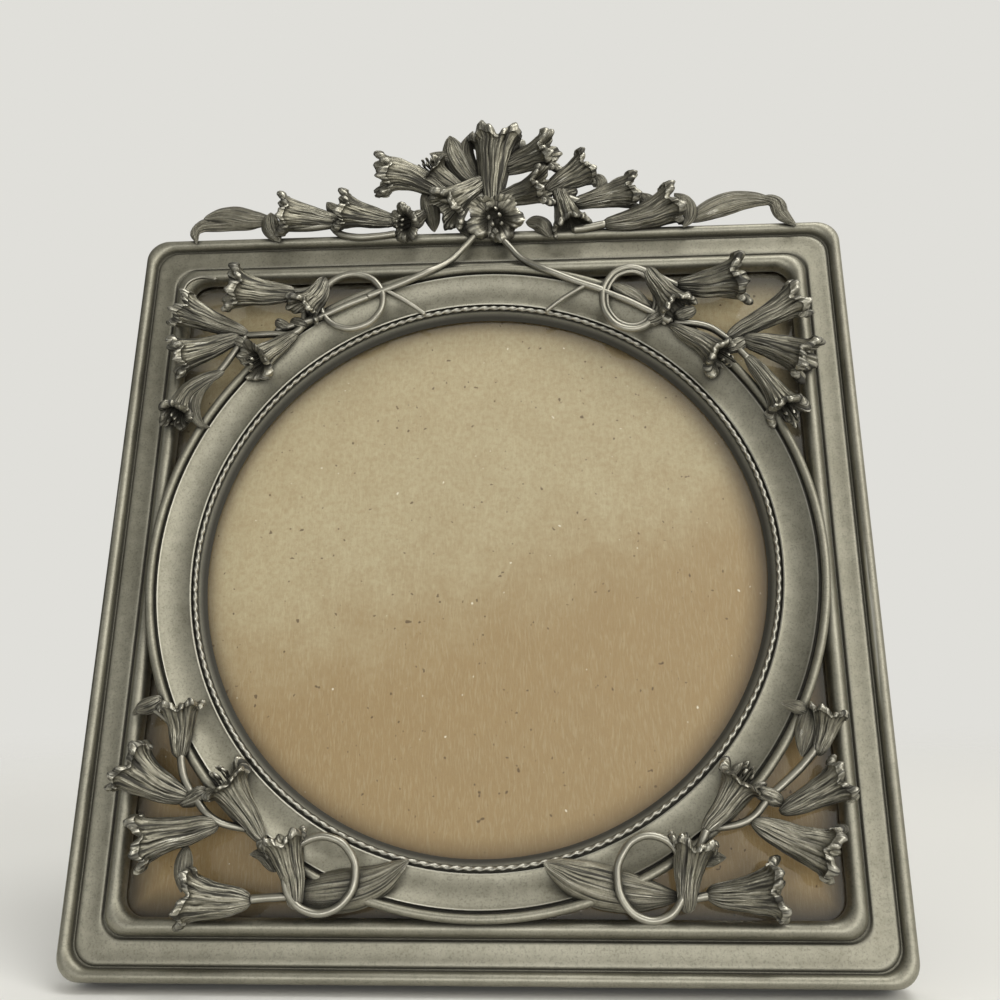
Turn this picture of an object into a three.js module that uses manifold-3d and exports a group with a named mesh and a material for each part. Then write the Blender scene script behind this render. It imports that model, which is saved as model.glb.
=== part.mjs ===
// A square tabletop picture frame in cast pewter, with a round opening, trumpet-vine sprays on its
// corners and crest, and a velvet-covered easel back. Millimetres, +Z up, the face towards -Y.
import * as THREE from "three";
import { mergeVertices } from "three/addons/utils/BufferGeometryUtils.js";
import Module from "manifold-3d";

const wasm = await Module();
wasm.setup();

// Overall size of the moulding, and how the frame stands
const frameWidth = 150;
const frameHeight = 151.7;
const leanAngle = 15;
const legOpenAngle = 38;

// The clearance that separate pieces keep where one rests on another
const seatGap = 0.3;

// Outer moulding, from its outer edge inwards
const outerCornerRadius = 4.5;
const openingCornerRadius = 3;
const outerBeadWidth = 2.4;
const outerBeadRise = 1.3;
const grooveWidth = 0.6;
const grooveDepth = 0.7;
const bandWidth = 4.2;
const innerBeadWidth = 3.2;
const innerBeadRise = 1.8;
const faceThickness = 1.3;
const rebateLap = 3.4;
const rebateCornerRadius = 0.5;

// The pack behind the moulding, front to back
const glassThickness = 1.8;
const cardThickness = 1;
const boardThickness = 1.8;
const velvetThickness = 0.5;

// Ring mat
const ringOverlap = 1;
const ringClearance = 0.4;
const ringBandWidth = 8.4;
const coveDepth = 1;
const rimGrooveDepth = 0.9;
const coveShoulder = 0.35;
const chamferWidth = 0.7;
const rimWireRadius = 0.85;
const ropeWireRadius = 0.8;
const ropeLevel = 8.6;

// Sprays and crest
const vineRadius = 0.8;
const tendrilRadius = 0.75;
const twigRadius = 0.55;
const leafDepth = 0.8;
const trumpetFlatness = 0.68;
const mouthRise = 0.3;
const mouthHollow = 0.55;
const hollowStart = 0.88;
const crestRise = 1.6;

// Turn buttons on the back, in two rows
const buttonThickness = 0.8;
const buttonRadius = 3.4;
const buttonReach = 8;
const buttonRowHeight = 38;
const screwRadius = 1.1;
const screwHeadRadius = 2.1;
const screwHeadHeight = 1.1;
const screwDepth = 4;
const pivotClearance = 0.12;

// Easel leg, its hinge and rivets
const hingeHeight = 24;
const legTopWidth = 30;
const legFootWidth = 62;
const legBoardThickness = 2.4;
const leafWidth = 26;
const leafLength = 15;
const leafThickness = 0.8;
const barrelRadius = 1.5;
const pinRadius = 0.8;
const knuckleLength = 8;
const knuckleGap = 0.2;
const stopLipLength = 4;
const legTopSetback = 3;
const rivetSpacing = 14;
const rivetRadius = 1;
const rivetHeadRadius = 1.9;
const rivetHeadHeight = 0.8;
const rivetSetback = 10;

// Finishes
const pewter = { color: 0x8f8b7d, roughness: 0.42, metalness: 0.95 };
const darkPewter = { color: 0x77746a, roughness: 0.45, metalness: 0.95 };
const glassFinish = { color: 0xe8efe9, roughness: 0.05, metalness: 0, transparent: true, opacity: 0.25 };
const kraft = { color: 0xae9f7c, roughness: 0.9, metalness: 0 };
const fibreboard = { color: 0x8a7048, roughness: 0.9, metalness: 0 };
const velvet = { color: 0x131b36, roughness: 0.95, metalness: 0 };
const brassed = { color: 0xb39a5a, roughness: 0.35, metalness: 1 };

// Sizes that follow from the driving ones
const halfWidth = frameWidth / 2;
const halfHeight = frameHeight / 2;
const velvetFront = velvetThickness;
const boardBack = velvetFront + seatGap;
const boardFront = boardBack + boardThickness;
const cardBack = boardFront + seatGap;
const cardFront = cardBack + cardThickness;
const glassBack = cardFront + seatGap;
const glassFront = glassBack + glassThickness;
const lipLevel = glassFront + seatGap;
const bandLevel = lipLevel + faceThickness;
const mouldingWidth = outerBeadWidth + bandWidth + innerBeadWidth + 2 * grooveWidth;
const openingHalfWidth = halfWidth - mouldingWidth;
const openingHalfHeight = halfHeight - mouldingWidth;
const rebateHalfWidth = openingHalfWidth + rebateLap;
const rebateHalfHeight = openingHalfHeight + rebateLap;
const openingRadius = Math.min(openingHalfWidth, openingHalfHeight);
const rimRadius = openingRadius + ringOverlap;
const ringBodyRadius = openingRadius - ringClearance;
const ropeRadius = rimRadius - ringBandWidth;
const ropeSeat = ropeLevel - ropeWireRadius - seatGap;
const lipUnderside = bandLevel + innerBeadRise + seatGap;
const rimLevel = lipUnderside + rimWireRadius;
const rimTop = rimLevel + rimWireRadius;
const vineLevel = rimTop + vineRadius;
const vineOnBead = lipUnderside + vineRadius;
const crestLevel = bandLevel + crestRise;

// A manifold solid from a three.js geometry.
function toSolid(geometry) {
  const bare = geometry.clone();
  bare.deleteAttribute("normal");
  bare.deleteAttribute("uv");
  const merged = mergeVertices(bare);
  const vertProperties = merged.attributes.position.array;
  const triVerts = new Uint32Array(merged.index.array);
  return new wasm.Manifold(new wasm.Mesh({ numProp: 3, vertProperties, triVerts }));
}

// A three.js geometry from a manifold solid.
function toGeometry(solid) {
  const mesh = solid.getMesh();
  const geometry = new THREE.BufferGeometry();
  geometry.setAttribute("position", new THREE.BufferAttribute(mesh.vertProperties, 3));
  geometry.setIndex(new THREE.BufferAttribute(mesh.triVerts, 1));
  geometry.computeVertexNormals();
  return geometry;
}

function joinAll(solids) {
  return solids.reduce((whole, solid) => whole.add(solid));
}

function cutAll(solid, cutters) {
  return cutters.reduce((rest, cutter) => rest.subtract(cutter), solid);
}

// The largest single body of a solid: slivers that a cut leaves are dropped.
function mainBody(solid) {
  const bodies = solid.decompose();
  return bodies.reduce((best, body) => (body.volume() > best.volume() ? body : best));
}

// A closed skin over rings of points. The rings run along a way, each turning counter-clockwise about it.
function loft(rings, joined) {
  const count = rings[0].length;
  const points = rings.flat();
  const faces = [];
  const spans = joined ? rings.length : rings.length - 1;
  for (let r = 0; r < spans; r++) {
    const near = r * count;
    const far = ((r + 1) % rings.length) * count;
    for (let i = 0; i < count; i++) {
      const next = (i + 1) % count;
      faces.push(near + i, near + next, far + next);
      faces.push(near + i, far + next, far + i);
    }
  }
  if (!joined) {
    const lastRing = (rings.length - 1) * count;
    const start = points.push(middle(rings[0])) - 1;
    const end = points.push(middle(rings.at(-1))) - 1;
    for (let i = 0; i < count; i++) {
      const next = (i + 1) % count;
      faces.push(start, next, i);
      faces.push(end, lastRing + i, lastRing + next);
    }
  }
  const geometry = new THREE.BufferGeometry().setFromPoints(points);
  geometry.setIndex(faces);
  return geometry;
}

function middle(points) {
  const sum = points.reduce((total, point) => total.add(point), new THREE.Vector3());
  return sum.divideScalar(points.length);
}

// One turn around a rounded rectangle, counter-clockwise seen from the front.
function rectangleRing(halfX, halfY, radius, z) {
  const stepsPerCorner = 3;
  const ring = [];
  for (const [signX, signY, start] of [
    [1, 1, 0],
    [-1, 1, 1],
    [-1, -1, 2],
    [1, -1, 3],
  ]) {
    for (let step = 0; step <= stepsPerCorner; step++) {
      const angle = ((start + step / stepsPerCorner) * Math.PI) / 2;
      const x = signX * (halfX - radius) + radius * Math.cos(angle);
      const y = signY * (halfY - radius) + radius * Math.sin(angle);
      ring.push(new THREE.Vector3(x, y, z));
    }
  }
  return ring;
}

// Half an ellipse over a stretch of a moulding's width, as [inset, level] points.
function bead(inset, beadWidth, level, rise, steps) {
  const points = [];
  for (let step = 0; step <= steps; step++) {
    const angle = Math.PI * (1 - step / steps);
    const across = inset + (beadWidth / 2) * (1 + Math.cos(angle));
    points.push([across, level + rise * Math.sin(angle)]);
  }
  return points;
}

// The moulding, with every face moved out by grow.
function mouldingSolid(grow) {
  const beadSteps = 5;
  const outerGroove = outerBeadWidth;
  const bandStart = outerGroove + grooveWidth;
  const innerGroove = bandStart + bandWidth;
  const innerBeadStart = innerGroove + grooveWidth;
  const back = -grow;
  const level = bandLevel + grow;
  const rebateInset = mouldingWidth - rebateLap + grow;
  const section = [
    [-grow, back],
    ...bead(-grow, outerBeadWidth + 2 * grow, level, outerBeadRise, beadSteps),
    [outerGroove + grooveWidth / 2 + grow / 2, level - grooveDepth],
    [bandStart + grow, level],
    [innerGroove - grow, level],
    [innerGroove + grooveWidth / 2 - grow / 2, level - grooveDepth],
    ...bead(innerBeadStart - grow, innerBeadWidth + 2 * grow, level, innerBeadRise, beadSteps),
    [mouldingWidth + grow, lipLevel - grow],
    [rebateInset, lipLevel - grow, rebateCornerRadius],
    [rebateInset, back, rebateCornerRadius],
  ];
  const rings = section.map(([inset, z, ownRadius]) => {
    const share = Math.min(1, Math.max(0, inset / mouldingWidth));
    const radius = ownRadius ?? outerCornerRadius + share * (openingCornerRadius - outerCornerRadius);
    return rectangleRing(halfWidth - inset, halfHeight - inset, radius, z);
  });
  return toSolid(loft(rings, true));
}

// A turned ring about the opening's middle, from [radius, level] points taken counter-clockwise.
function turned(section, segments) {
  const points = section.map(([radius, z]) => new THREE.Vector2(radius, z));
  points.push(points[0].clone());
  const geometry = new THREE.LatheGeometry(points, segments);
  geometry.rotateX(Math.PI / 2);
  return toSolid(geometry);
}

const ringSegments = 48;

function ringSolid(grow) {
  const coveSteps = 4;
  const rimSteps = 4;
  const boreRadius = ropeRadius - ropeWireRadius - seatGap - grow;
  const ropeShoulder = ropeRadius + ropeWireRadius + seatGap - grow;
  const shoulderLevel = ropeLevel + grow;
  const coveStart = ropeShoulder + coveShoulder;
  const coveEnd = rimRadius - rimWireRadius;
  const coveTop = rimTop - rimGrooveDepth + grow;
  const underside = lipUnderside - grow;
  const section = [
    [boreRadius - chamferWidth, lipLevel - grow],
    [ringBodyRadius + grow, lipLevel - grow],
    [ringBodyRadius + grow, underside],
    [rimRadius + rimWireRadius + grow, underside],
  ];
  for (let step = 0; step < rimSteps; step++) {
    const angle = (Math.PI * step) / rimSteps;
    const wire = rimWireRadius + grow;
    section.push([rimRadius + wire * Math.cos(angle), rimLevel + wire * Math.sin(angle)]);
  }
  for (let step = 0; step <= coveSteps; step++) {
    const share = step / coveSteps;
    const radius = coveEnd + share * (coveStart - coveEnd);
    const chord = coveTop + share * (shoulderLevel - coveTop);
    section.push([radius, chord - 4 * coveDepth * share * (1 - share)]);
  }
  section.push([ropeShoulder, shoulderLevel]);
  section.push([ropeShoulder, ropeSeat + grow]);
  section.push([boreRadius, ropeSeat + grow]);
  return turned(section, ringSegments);
}

function ropeSolid(grow) {
  const sides = 5;
  const section = [];
  for (let side = 0; side < sides; side++) {
    const angle = (2 * Math.PI * (side + 0.5)) / sides;
    const wire = ropeWireRadius + grow;
    section.push([ropeRadius + wire * Math.cos(angle), ropeLevel + wire * Math.sin(angle)]);
  }
  return turned(section, ringSegments);
}

// A limb swept along a smooth way through the points. Sections are [share of the way, half width,
// half depth, push], where push moves the section further along the way.
function limb(points, sections, sides, flute) {
  const way = new THREE.CatmullRomCurve3(points);
  const side = new THREE.Vector3(0, 0, 1).cross(way.getTangentAt(0));
  const rings = sections.map(([share, wide, deep, push]) => {
    const tangent = way.getTangentAt(share);
    const centre = way.getPointAt(share).addScaledVector(tangent, push);
    side.addScaledVector(tangent, -side.dot(tangent)).normalize();
    const over = tangent.clone().cross(side);
    const ring = [];
    for (let i = 0; i < sides; i++) {
      const angle = (2 * Math.PI * i) / sides;
      const swell = i % 2 ? 1 - flute : 1 + flute;
      const point = centre.clone();
      point.addScaledVector(side, wide * swell * Math.cos(angle));
      point.addScaledVector(over, deep * swell * Math.sin(angle));
      ring.push(point);
    }
    return ring;
  });
  return toSolid(loft(rings, false));
}

// A trumpet flower from its tail to a flared, hollow mouth.
function trumpet(points, halfMouth, grow) {
  const flare = [
    [0, 0.3],
    [0.45, 0.46],
    [0.8, 0.7],
    [1, 1],
  ];
  const sections = flare.map(([share, size]) => {
    const wide = halfMouth * size + grow;
    return [share, wide, wide * trumpetFlatness, grow * (2 * share - 1)];
  });
  const cup = halfMouth * mouthHollow - grow;
  sections.push([hollowStart, cup, cup * trumpetFlatness, grow]);
  return limb(points, sections, 8, 0.06);
}

// A stem or wire of even thickness.
function stem(points, radius, grow) {
  const steps = points.length;
  const sections = [];
  for (let step = 0; step <= steps; step++) {
    const share = step / steps;
    sections.push([share, radius + grow, radius + grow, grow * (2 * share - 1)]);
  }
  return limb(points, sections, 5, 0);
}

// A leaf or petal, wide in its middle and drawn in to both ends.
function leaf(points, halfLeaf, grow) {
  const steps = 4;
  const sections = [];
  for (let step = 0; step <= steps; step++) {
    const share = step / steps;
    const size = 0.35 + 0.65 * Math.sin(Math.PI * share);
    const wide = halfLeaf * size + grow;
    sections.push([share, wide, Math.min(wide, leafDepth + grow), grow * (2 * share - 1)]);
  }
  return limb(points, sections, 6, 0);
}

function bud(point, radius, grow) {
  const geometry = new THREE.SphereGeometry(radius + grow, 6, 4);
  geometry.translate(point.x, point.y, point.z);
  return toSolid(geometry);
}

// A tendril loop: a wire bent to an oval that starts and ends on the stem.
function tendril(centre, halfX, halfY, radius, grow) {
  const steps = 16;
  const wireSides = 5;
  const rings = [];
  for (let step = 0; step < steps; step++) {
    const angle = (2 * Math.PI * step) / steps;
    const outward = new THREE.Vector3(Math.cos(angle), Math.sin(angle), 0);
    const rest = new THREE.Vector3(halfX * outward.x, halfY * outward.y, 0).add(centre);
    const ring = [];
    for (let i = 0; i < wireSides; i++) {
      const turn = (2 * Math.PI * (i + 0.5)) / wireSides;
      const point = rest.clone().addScaledVector(outward, (radius + grow) * Math.cos(turn));
      point.z += (radius + grow) * Math.sin(turn);
      ring.push(point);
    }
    rings.push(ring.reverse());
  }
  return toSolid(loft(rings, true));
}

// A place by its distances in from one outer corner of the moulding.
function cornerSpot(corner, acrossIn, upIn, z) {
  return new THREE.Vector3(corner.x * (halfWidth - acrossIn), corner.y * (halfHeight - upIn), z);
}

// A place by its distance from the middle of the top edge.
function crestSpot(x, rise, z) {
  return new THREE.Vector3(x, halfHeight + rise, z);
}

// The four corner sprays. Each form's numbers are distances in from the corner, and any third is a rise.
function cornerForms(name) {
  if (name === "top_left") return topLeftForms();
  if (name === "top_right") return topRightForms();
  if (name === "bottom_left") return bottomLeftForms();
  return bottomRightForms();
}

function topLeftForms() {
  return {
    trumpets: [
      [4.8, [35, 16.5], [27, 16.6], [20, 16]],
      [3.6, [25.5, 26], [17, 22.8], [9.7, 19.5]],
      [4, [24, 26.3], [16.5, 29.8], [10, 32.5]],
      [4.6, [36, 26], [30, 30.5], [27.5, 33, 1.2], [26.5, 33.5, 3]],
      [3.5, [21, 34.5], [14.5, 38.5], [12, 44], [12, 46.5, 2.2]],
      [4.3, [41, 13], [39.5, 17.5], [36.2, 22]],
    ],
    leaves: [
      [1.1, [10.5, 17], [11.5, 13], [14.5, 12.3], [18, 12.6]],
      [1.2, [19.5, 35], [15.5, 40.5], [17, 46], [19.5, 47.3]],
    ],
    buds: [
      [1.6, 36, 23.6],
      [1.5, 32.5, 24],
      [1.7, 24.2, 28.2],
    ],
    stems: [
      [[33, 24.5], [36.5, 23.8], [41.5, 22], [47.5, 18.6], [54, 16]],
      [[34, 16.6], [38, 15.8], [41, 14]],
      [[24.5, 26.6], [30, 26.2], [36, 25.6], [37, 22]],
      [[24.5, 27], [22.5, 31], [20.5, 35]],
    ],
    loop: [47, 18.8, 6.6, 6.5],
  };
}

function topRightForms() {
  return {
    trumpets: [
      [5.2, [35.2, 17.3], [28, 17.2], [20.7, 16.6]],
      [4, [25.7, 29.6], [17.5, 25.2], [9.7, 21.3]],
      [4.8, [22.7, 30.1], [16, 32.4], [9, 36.4]],
      [4.4, [37.2, 26.3], [31, 30.5], [26.4, 35, 1], [25.6, 36, 2.6]],
      [4.4, [22.2, 33.6], [17.7, 40.6], [14.8, 46.5], [14.2, 48.6, 2]],
      [4, [41.2, 12.8], [38.5, 18], [34.9, 24]],
    ],
    leaves: [[1.5, [48.7, 16.3], [45, 18.5], [40.7, 22.1]]],
    buds: [
      [1.7, 31.4, 23.6],
      [1.8, 39.7, 24.6],
      [1.9, 23.8, 31.4],
    ],
    stems: [
      [[36.5, 25.6], [39.2, 24.1], [46.2, 20.1], [51.2, 17.4], [54, 16.2]],
      [[34.5, 17.6], [38, 15.5], [41.2, 13.2]],
      [[30, 26.5], [26, 29.5], [21.6, 34.6]],
    ],
    loop: [44.7, 19.8, 5.9, 7.3],
  };
}

function bottomLeftForms() {
  return {
    trumpets: [
      [4, [20, 38.2], [20, 43], [19.5, 48.7]],
      [5.2, [22.5, 31.2], [16.5, 33.4], [10, 37.7]],
      [4.8, [28.5, 26.7], [20, 24.8], [13, 23.2]],
      [5.2, [35.5, 13.7], [29, 13.7], [22.5, 14.4]],
      [4.7, [37, 23.7], [33, 29], [28, 35.2]],
      [3.8, [43, 13.7], [42, 19], [40, 25.2]],
    ],
    leaves: [
      [1.4, [23, 23], [22.6, 19.5], [22.8, 15]],
      [2.3, [44.5, 17.2], [53.5, 16.7], [62, 19.7]],
      [1.1, [39.5, 18.5], [37, 21.3], [34.5, 21.5]],
      [1.2, [16.5, 47], [13, 48.2], [10.3, 46.2]],
    ],
    buds: [
      [2, 13.4, 48],
      [2.1, 23.5, 31.4],
    ],
    stems: [
      [[35, 13.9], [38.5, 14.2], [43, 14.4]],
      [[20, 39], [21.5, 35], [23.5, 31.4], [28, 27.2], [32, 25.8]],
      [[36, 24], [39, 20], [42, 16]],
      [[19.8, 43], [16.5, 46], [13.4, 48]],
    ],
    loop: [47.5, 18, 6.2, 6.4],
  };
}

function bottomRightForms() {
  return {
    trumpets: [
      [3.1, [14.6, 38.5], [13.2, 43], [12, 46.9]],
      [4, [22.2, 28.7], [16, 31.6], [10, 34.7]],
      [4.8, [27.2, 27.2], [19.5, 23.6], [12.5, 21]],
      [5.2, [35.7, 15], [29, 15], [22.2, 15.7]],
      [4.3, [35.7, 25.2], [31.5, 30], [27.2, 35.7]],
      [3.9, [38.7, 13.2], [38.4, 19], [37.2, 24.7]],
    ],
    leaves: [
      [1.9, [15.2, 47.4], [16.2, 43], [17.7, 38.2]],
      [1, [15.8, 46], [18, 47.2], [20.6, 47.9]],
      [2.4, [63, 19.7], [58.2, 16.7], [50.2, 16.2], [41.2, 16.7]],
      [1.1, [37, 20], [34.5, 21], [32, 21.2]],
    ],
    buds: [[2, 23.7, 31.2]],
    stems: [
      [[15.5, 38.8], [17.5, 37], [20.2, 34.4], [23.7, 31.4], [28, 27], [34.5, 26]],
      [[34.4, 15], [38.7, 14.2]],
      [[35, 26], [37.6, 20]],
    ],
    loop: [45, 17.7, 5.8, 7],
  };
}

// The three clusters of the crest. Each form's numbers are the distance from the middle, the rise over
// the top edge, and its level over the crest's own.
function crestForms(name) {
  if (name === "left") {
    return {
      trumpets: [
        [4, [-34.5, 3.2], [-40, 4.6], [-45.5, 6]],
        [4.6, [-21.5, 2.3], [-27, 4.6], [-32.5, 7.4]],
        [3.2, [-14, 5], [-17, 2.2, 0.6], [-19, 0.6, 2.6]],
      ],
      leaves: [
        [1.9, [-61.5, 4.9], [-55, 6.3], [-48, 5], [-42, 4.4]],
        [1.5, [-61, 5], [-64, 2.2], [-63.4, -0.6], [-62, -2.4]],
        [1.6, [-46.4, 4], [-46, 1], [-44.8, -2.4]],
      ],
      buds: [[1.6, -34, 3.2]],
      stems: [
        [[-33.4, 3.6], [-32.4, 0.6], [-30, -1.1], [-24, -1.4], [-19.5, -0.5]],
        [[-35.5, 3.4], [-30, 3.2], [-24, 2.8]],
        [[-23, 2.6], [-19, 2.6], [-15, 4]],
      ],
    };
  }
  if (name === "centre") {
    return {
      trumpets: [
        [3.9, [-10, 5.5], [-13.4, 11.6], [-19.5, 15.2], [-26, 14.8]],
        [3.5, [-4.5, 9.5], [-9.5, 12.6], [-13, 16, 0.6], [-14.6, 17, 2.6]],
        [5.3, [1, 9], [1.2, 17], [2, 25.4]],
        [4, [-1, 10.4], [-5.4, 7], [-9.4, 3.2]],
        [3.7, [1.6, 13.5], [8.5, 17], [15.5, 18.8]],
        [3.3, [2.4, 7], [8, 8.4], [14, 9.5]],
        [5.6, [1.2, 7], [1.2, 3.6, 0.4], [1.2, 1.6, 2.4], [1.2, 1, 4.6]],
      ],
      leaves: [
        [2.6, [-8.5, 25.2], [-5.4, 18], [-1.4, 10.4]],
        [1.3, [-2.6, 15], [-4.4, 22], [-2.4, 26.4]],
      ],
      buds: [[2.2, 0.6, 9.4]],
      stems: [
        [[-11, 7], [-6, 8], [0, 9.4], [3, 8]],
        [[0.6, 9.4], [0.4, 4], [0.2, -2.6]],
      ],
    };
  }
  return {
    trumpets: [
      [4, [14.5, 11.2], [18.5, 13], [22.7, 15.2]],
      [3.3, [19.5, 6], [26, 7.6], [32.7, 9.9]],
      [4, [25, 0.4], [33, 1.9], [42.2, 6]],
    ],
    leaves: [
      [2, [15.6, 11.4], [17.4, 5], [18.5, -2.4]],
      [1.8, [16.4, 7], [12, 3], [13.6, -2.8]],
      [1.1, [22.6, 14], [24.4, 12], [23.8, 8.6]],
      [1.7, [44.5, 2], [52, 5.4], [57, 6.2], [62, 4.6]],
      [1.4, [61.4, 5.2], [64.2, 2], [63.6, -0.6], [62.2, -2.2]],
      [1.4, [42.6, 4], [44.4, 1.4], [45.4, -1.8]],
    ],
    buds: [
      [1.8, 18, 6.4],
      [1.4, 24.4, 0.2],
    ],
    stems: [
      [[17.6, 6.4], [20, 6], [23, 6.6]],
      [[18.3, -0.6], [21, -0.4], [26, 0.4]],
      [[16, 11], [17, 8]],
    ],
  };
}

// One cluster as a single body: the forms are joined, and no form is left apart from the rest.
function cluster(forms, place, levels, grow) {
  const spots = (points, last) =>
    points.map(([a, b, z], i) => {
      const share = points.length > 1 ? i / (points.length - 1) : 0;
      return place(a, b, z === undefined ? levels.tail + share * (last - levels.tail) : levels.base + z);
    });
  const solids = [];
  for (const [halfMouth, ...points] of forms.trumpets) {
    solids.push(trumpet(spots(points, levels.mouth), halfMouth, grow));
  }
  for (const [halfLeaf, ...points] of forms.leaves) {
    solids.push(leaf(spots(points, levels.tail), halfLeaf, grow));
  }
  for (const [radius, a, b] of forms.buds) {
    solids.push(bud(place(a, b, levels.tail), radius, grow));
  }
  for (const points of forms.stems) {
    solids.push(stem(spots(points, levels.tail), vineRadius, grow));
  }
  if (forms.loop) {
    const [a, b, halfX, halfY] = forms.loop;
    solids.push(tendril(place(a, b, levels.tail), halfX, halfY, tendrilRadius, grow));
  }
  return joinAll(solids);
}

const corners = {
  top_left: { x: -1, y: 1 },
  top_right: { x: 1, y: 1 },
  bottom_left: { x: -1, y: -1 },
  bottom_right: { x: 1, y: -1 },
};

function cornerCluster(name) {
  const levels = { base: vineLevel, tail: vineLevel, mouth: vineLevel + mouthRise };
  const place = (a, b, z) => cornerSpot(corners[name], a, b, z);
  const spray = cluster(cornerForms(name), place, levels, 0);
  return corners[name].y > 0 ? spray.add(crossingVine(corners[name])) : spray;
}

function crestCluster(name, grow) {
  const levels = { base: crestLevel, tail: crestLevel, mouth: crestLevel + mouthRise };
  return cluster(crestForms(name), crestSpot, levels, grow);
}

// A vine from a top corner's loop up over the moulding to the crest, with a twig down to the rope edge.
function crossingVine(corner) {
  const main = [
    cornerSpot(corner, 50, 18, vineLevel),
    cornerSpot(corner, 57.5, 14.8, vineLevel),
    cornerSpot(corner, 62.8, 12.2, vineLevel),
    cornerSpot(corner, 67, 9.6, vineOnBead),
    crestSpot(corner.x * 5.2, -7.6, vineOnBead),
    crestSpot(corner.x * 2.6, -4.2, vineOnBead),
  ];
  const twig = [
    cornerSpot(corner, 54, 16.4, vineLevel),
    cornerSpot(corner, 59, 19.2, vineLevel - vineRadius),
    cornerSpot(corner, 62.5, 21.6, vineLevel - 2 * vineRadius),
  ];
  return joinAll([stem(main, vineRadius, 0), stem(twig, twigRadius, 0)]);
}

// A flat plate from an outline in the frame's plane, between two levels.
function plate(outline, back, front) {
  const geometry = new THREE.ExtrudeGeometry(outline, {
    depth: front - back,
    bevelEnabled: false,
    curveSegments: 6,
  });
  geometry.translate(0, 0, back);
  return toSolid(geometry);
}

function box(left, right, bottom, top, back, front) {
  const geometry = new THREE.BoxGeometry(right - left, top - bottom, front - back);
  geometry.translate((left + right) / 2, (bottom + top) / 2, (back + front) / 2);
  return toSolid(geometry);
}

// A round bar square to the frame's plane.
function peg(x, y, radius, back, front, sides = 12) {
  const geometry = new THREE.CylinderGeometry(radius, radius, front - back, sides);
  geometry.rotateX(Math.PI / 2);
  geometry.translate(x, y, (back + front) / 2);
  return toSolid(geometry);
}

// A round bar along X.
function bar(left, right, y, z, radius, sides = 12) {
  const geometry = new THREE.CylinderGeometry(radius, radius, right - left, sides);
  geometry.rotateZ(Math.PI / 2);
  geometry.translate((left + right) / 2, y, z);
  return toSolid(geometry);
}

const frame = new THREE.Group();
const part = new THREE.Group();
part.add(frame);

function place(name, solid, finish, group = frame) {
  const mesh = new THREE.Mesh(toGeometry(solid), new THREE.MeshStandardMaterial(finish));
  mesh.name = name;
  group.add(mesh);
  return mesh;
}

// Front castings
const screwSpots = [];
for (const side of ["left", "right"]) {
  for (const row of ["upper", "lower"]) {
    const x = (side === "left" ? -1 : 1) * ((halfWidth + rebateHalfWidth) / 2);
    const y = row === "upper" ? buttonRowHeight : -buttonRowHeight;
    screwSpots.push({ name: `${row}_${side}`, x, y });
  }
}
const screwHoles = screwSpots.map(({ x, y }) =>
  peg(x, y, screwRadius + pivotClearance, -seatGap, screwDepth + seatGap),
);
place("outer_moulding", cutAll(mouldingSolid(0), screwHoles), pewter);
place("ring_mat", ringSolid(0), pewter);
place("rope_edge", ropeSolid(0), darkPewter);

const castingCutters = [mouldingSolid(seatGap), ringSolid(seatGap), ropeSolid(seatGap)];
const centreCrest = cutAll(crestCluster("centre", 0), castingCutters);
place("crest_centre", mainBody(centreCrest), pewter);
const centreCutter = crestCluster("centre", seatGap);
for (const name of ["left", "right"]) {
  const solid = cutAll(crestCluster(name, 0), [...castingCutters, centreCutter]);
  place(`crest_${name}`, mainBody(solid), pewter);
}
for (const name of Object.keys(corners)) {
  const solid = cutAll(cornerCluster(name), [...castingCutters, centreCutter]);
  place(`spray_${name}`, mainBody(solid), pewter);
}

// Glass, card and back board in the rebate
function pane(name, inset, back, front, finish) {
  const halfX = rebateHalfWidth - inset;
  const halfY = rebateHalfHeight - inset;
  place(name, box(-halfX, halfX, -halfY, halfY, back, front), finish);
}
pane("glass_pane", seatGap, glassBack, glassFront, glassFinish);
pane("picture_card", seatGap, cardBack, cardFront, kraft);

const boardInset = 2 * seatGap + velvetThickness;
const boardHalfX = rebateHalfWidth - boardInset;
const boardHalfY = rebateHalfHeight - boardInset;
const upperLeafBottom = hingeHeight;
const upperRivetY = hingeHeight + rivetSetback;
const rivetXs = [-rivetSpacing / 2, rivetSpacing / 2];
const holeRadius = rivetRadius + pivotClearance;
const boardHoles = rivetXs.map((x) => peg(x, upperRivetY, holeRadius, -seatGap, boardFront + seatGap));
const boardBody = box(-boardHalfX, boardHalfX, -boardHalfY, boardHalfY, boardBack, boardFront);
place("back_board", cutAll(boardBody, boardHoles), fibreboard);

// The velvet wraps the board's back and edges.
const coverHalfX = rebateHalfWidth - seatGap;
const coverHalfY = rebateHalfHeight - seatGap;
const coverOuter = box(-coverHalfX, coverHalfX, -coverHalfY, coverHalfY, 0, boardFront);
const hollowX = coverHalfX - velvetThickness;
const hollowY = coverHalfY - velvetThickness;
const coverHollow = box(-hollowX, hollowX, -hollowY, hollowY, velvetFront, boardFront + seatGap);
place("back_velvet", cutAll(coverOuter, [coverHollow, ...boardHoles]), velvet);

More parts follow.
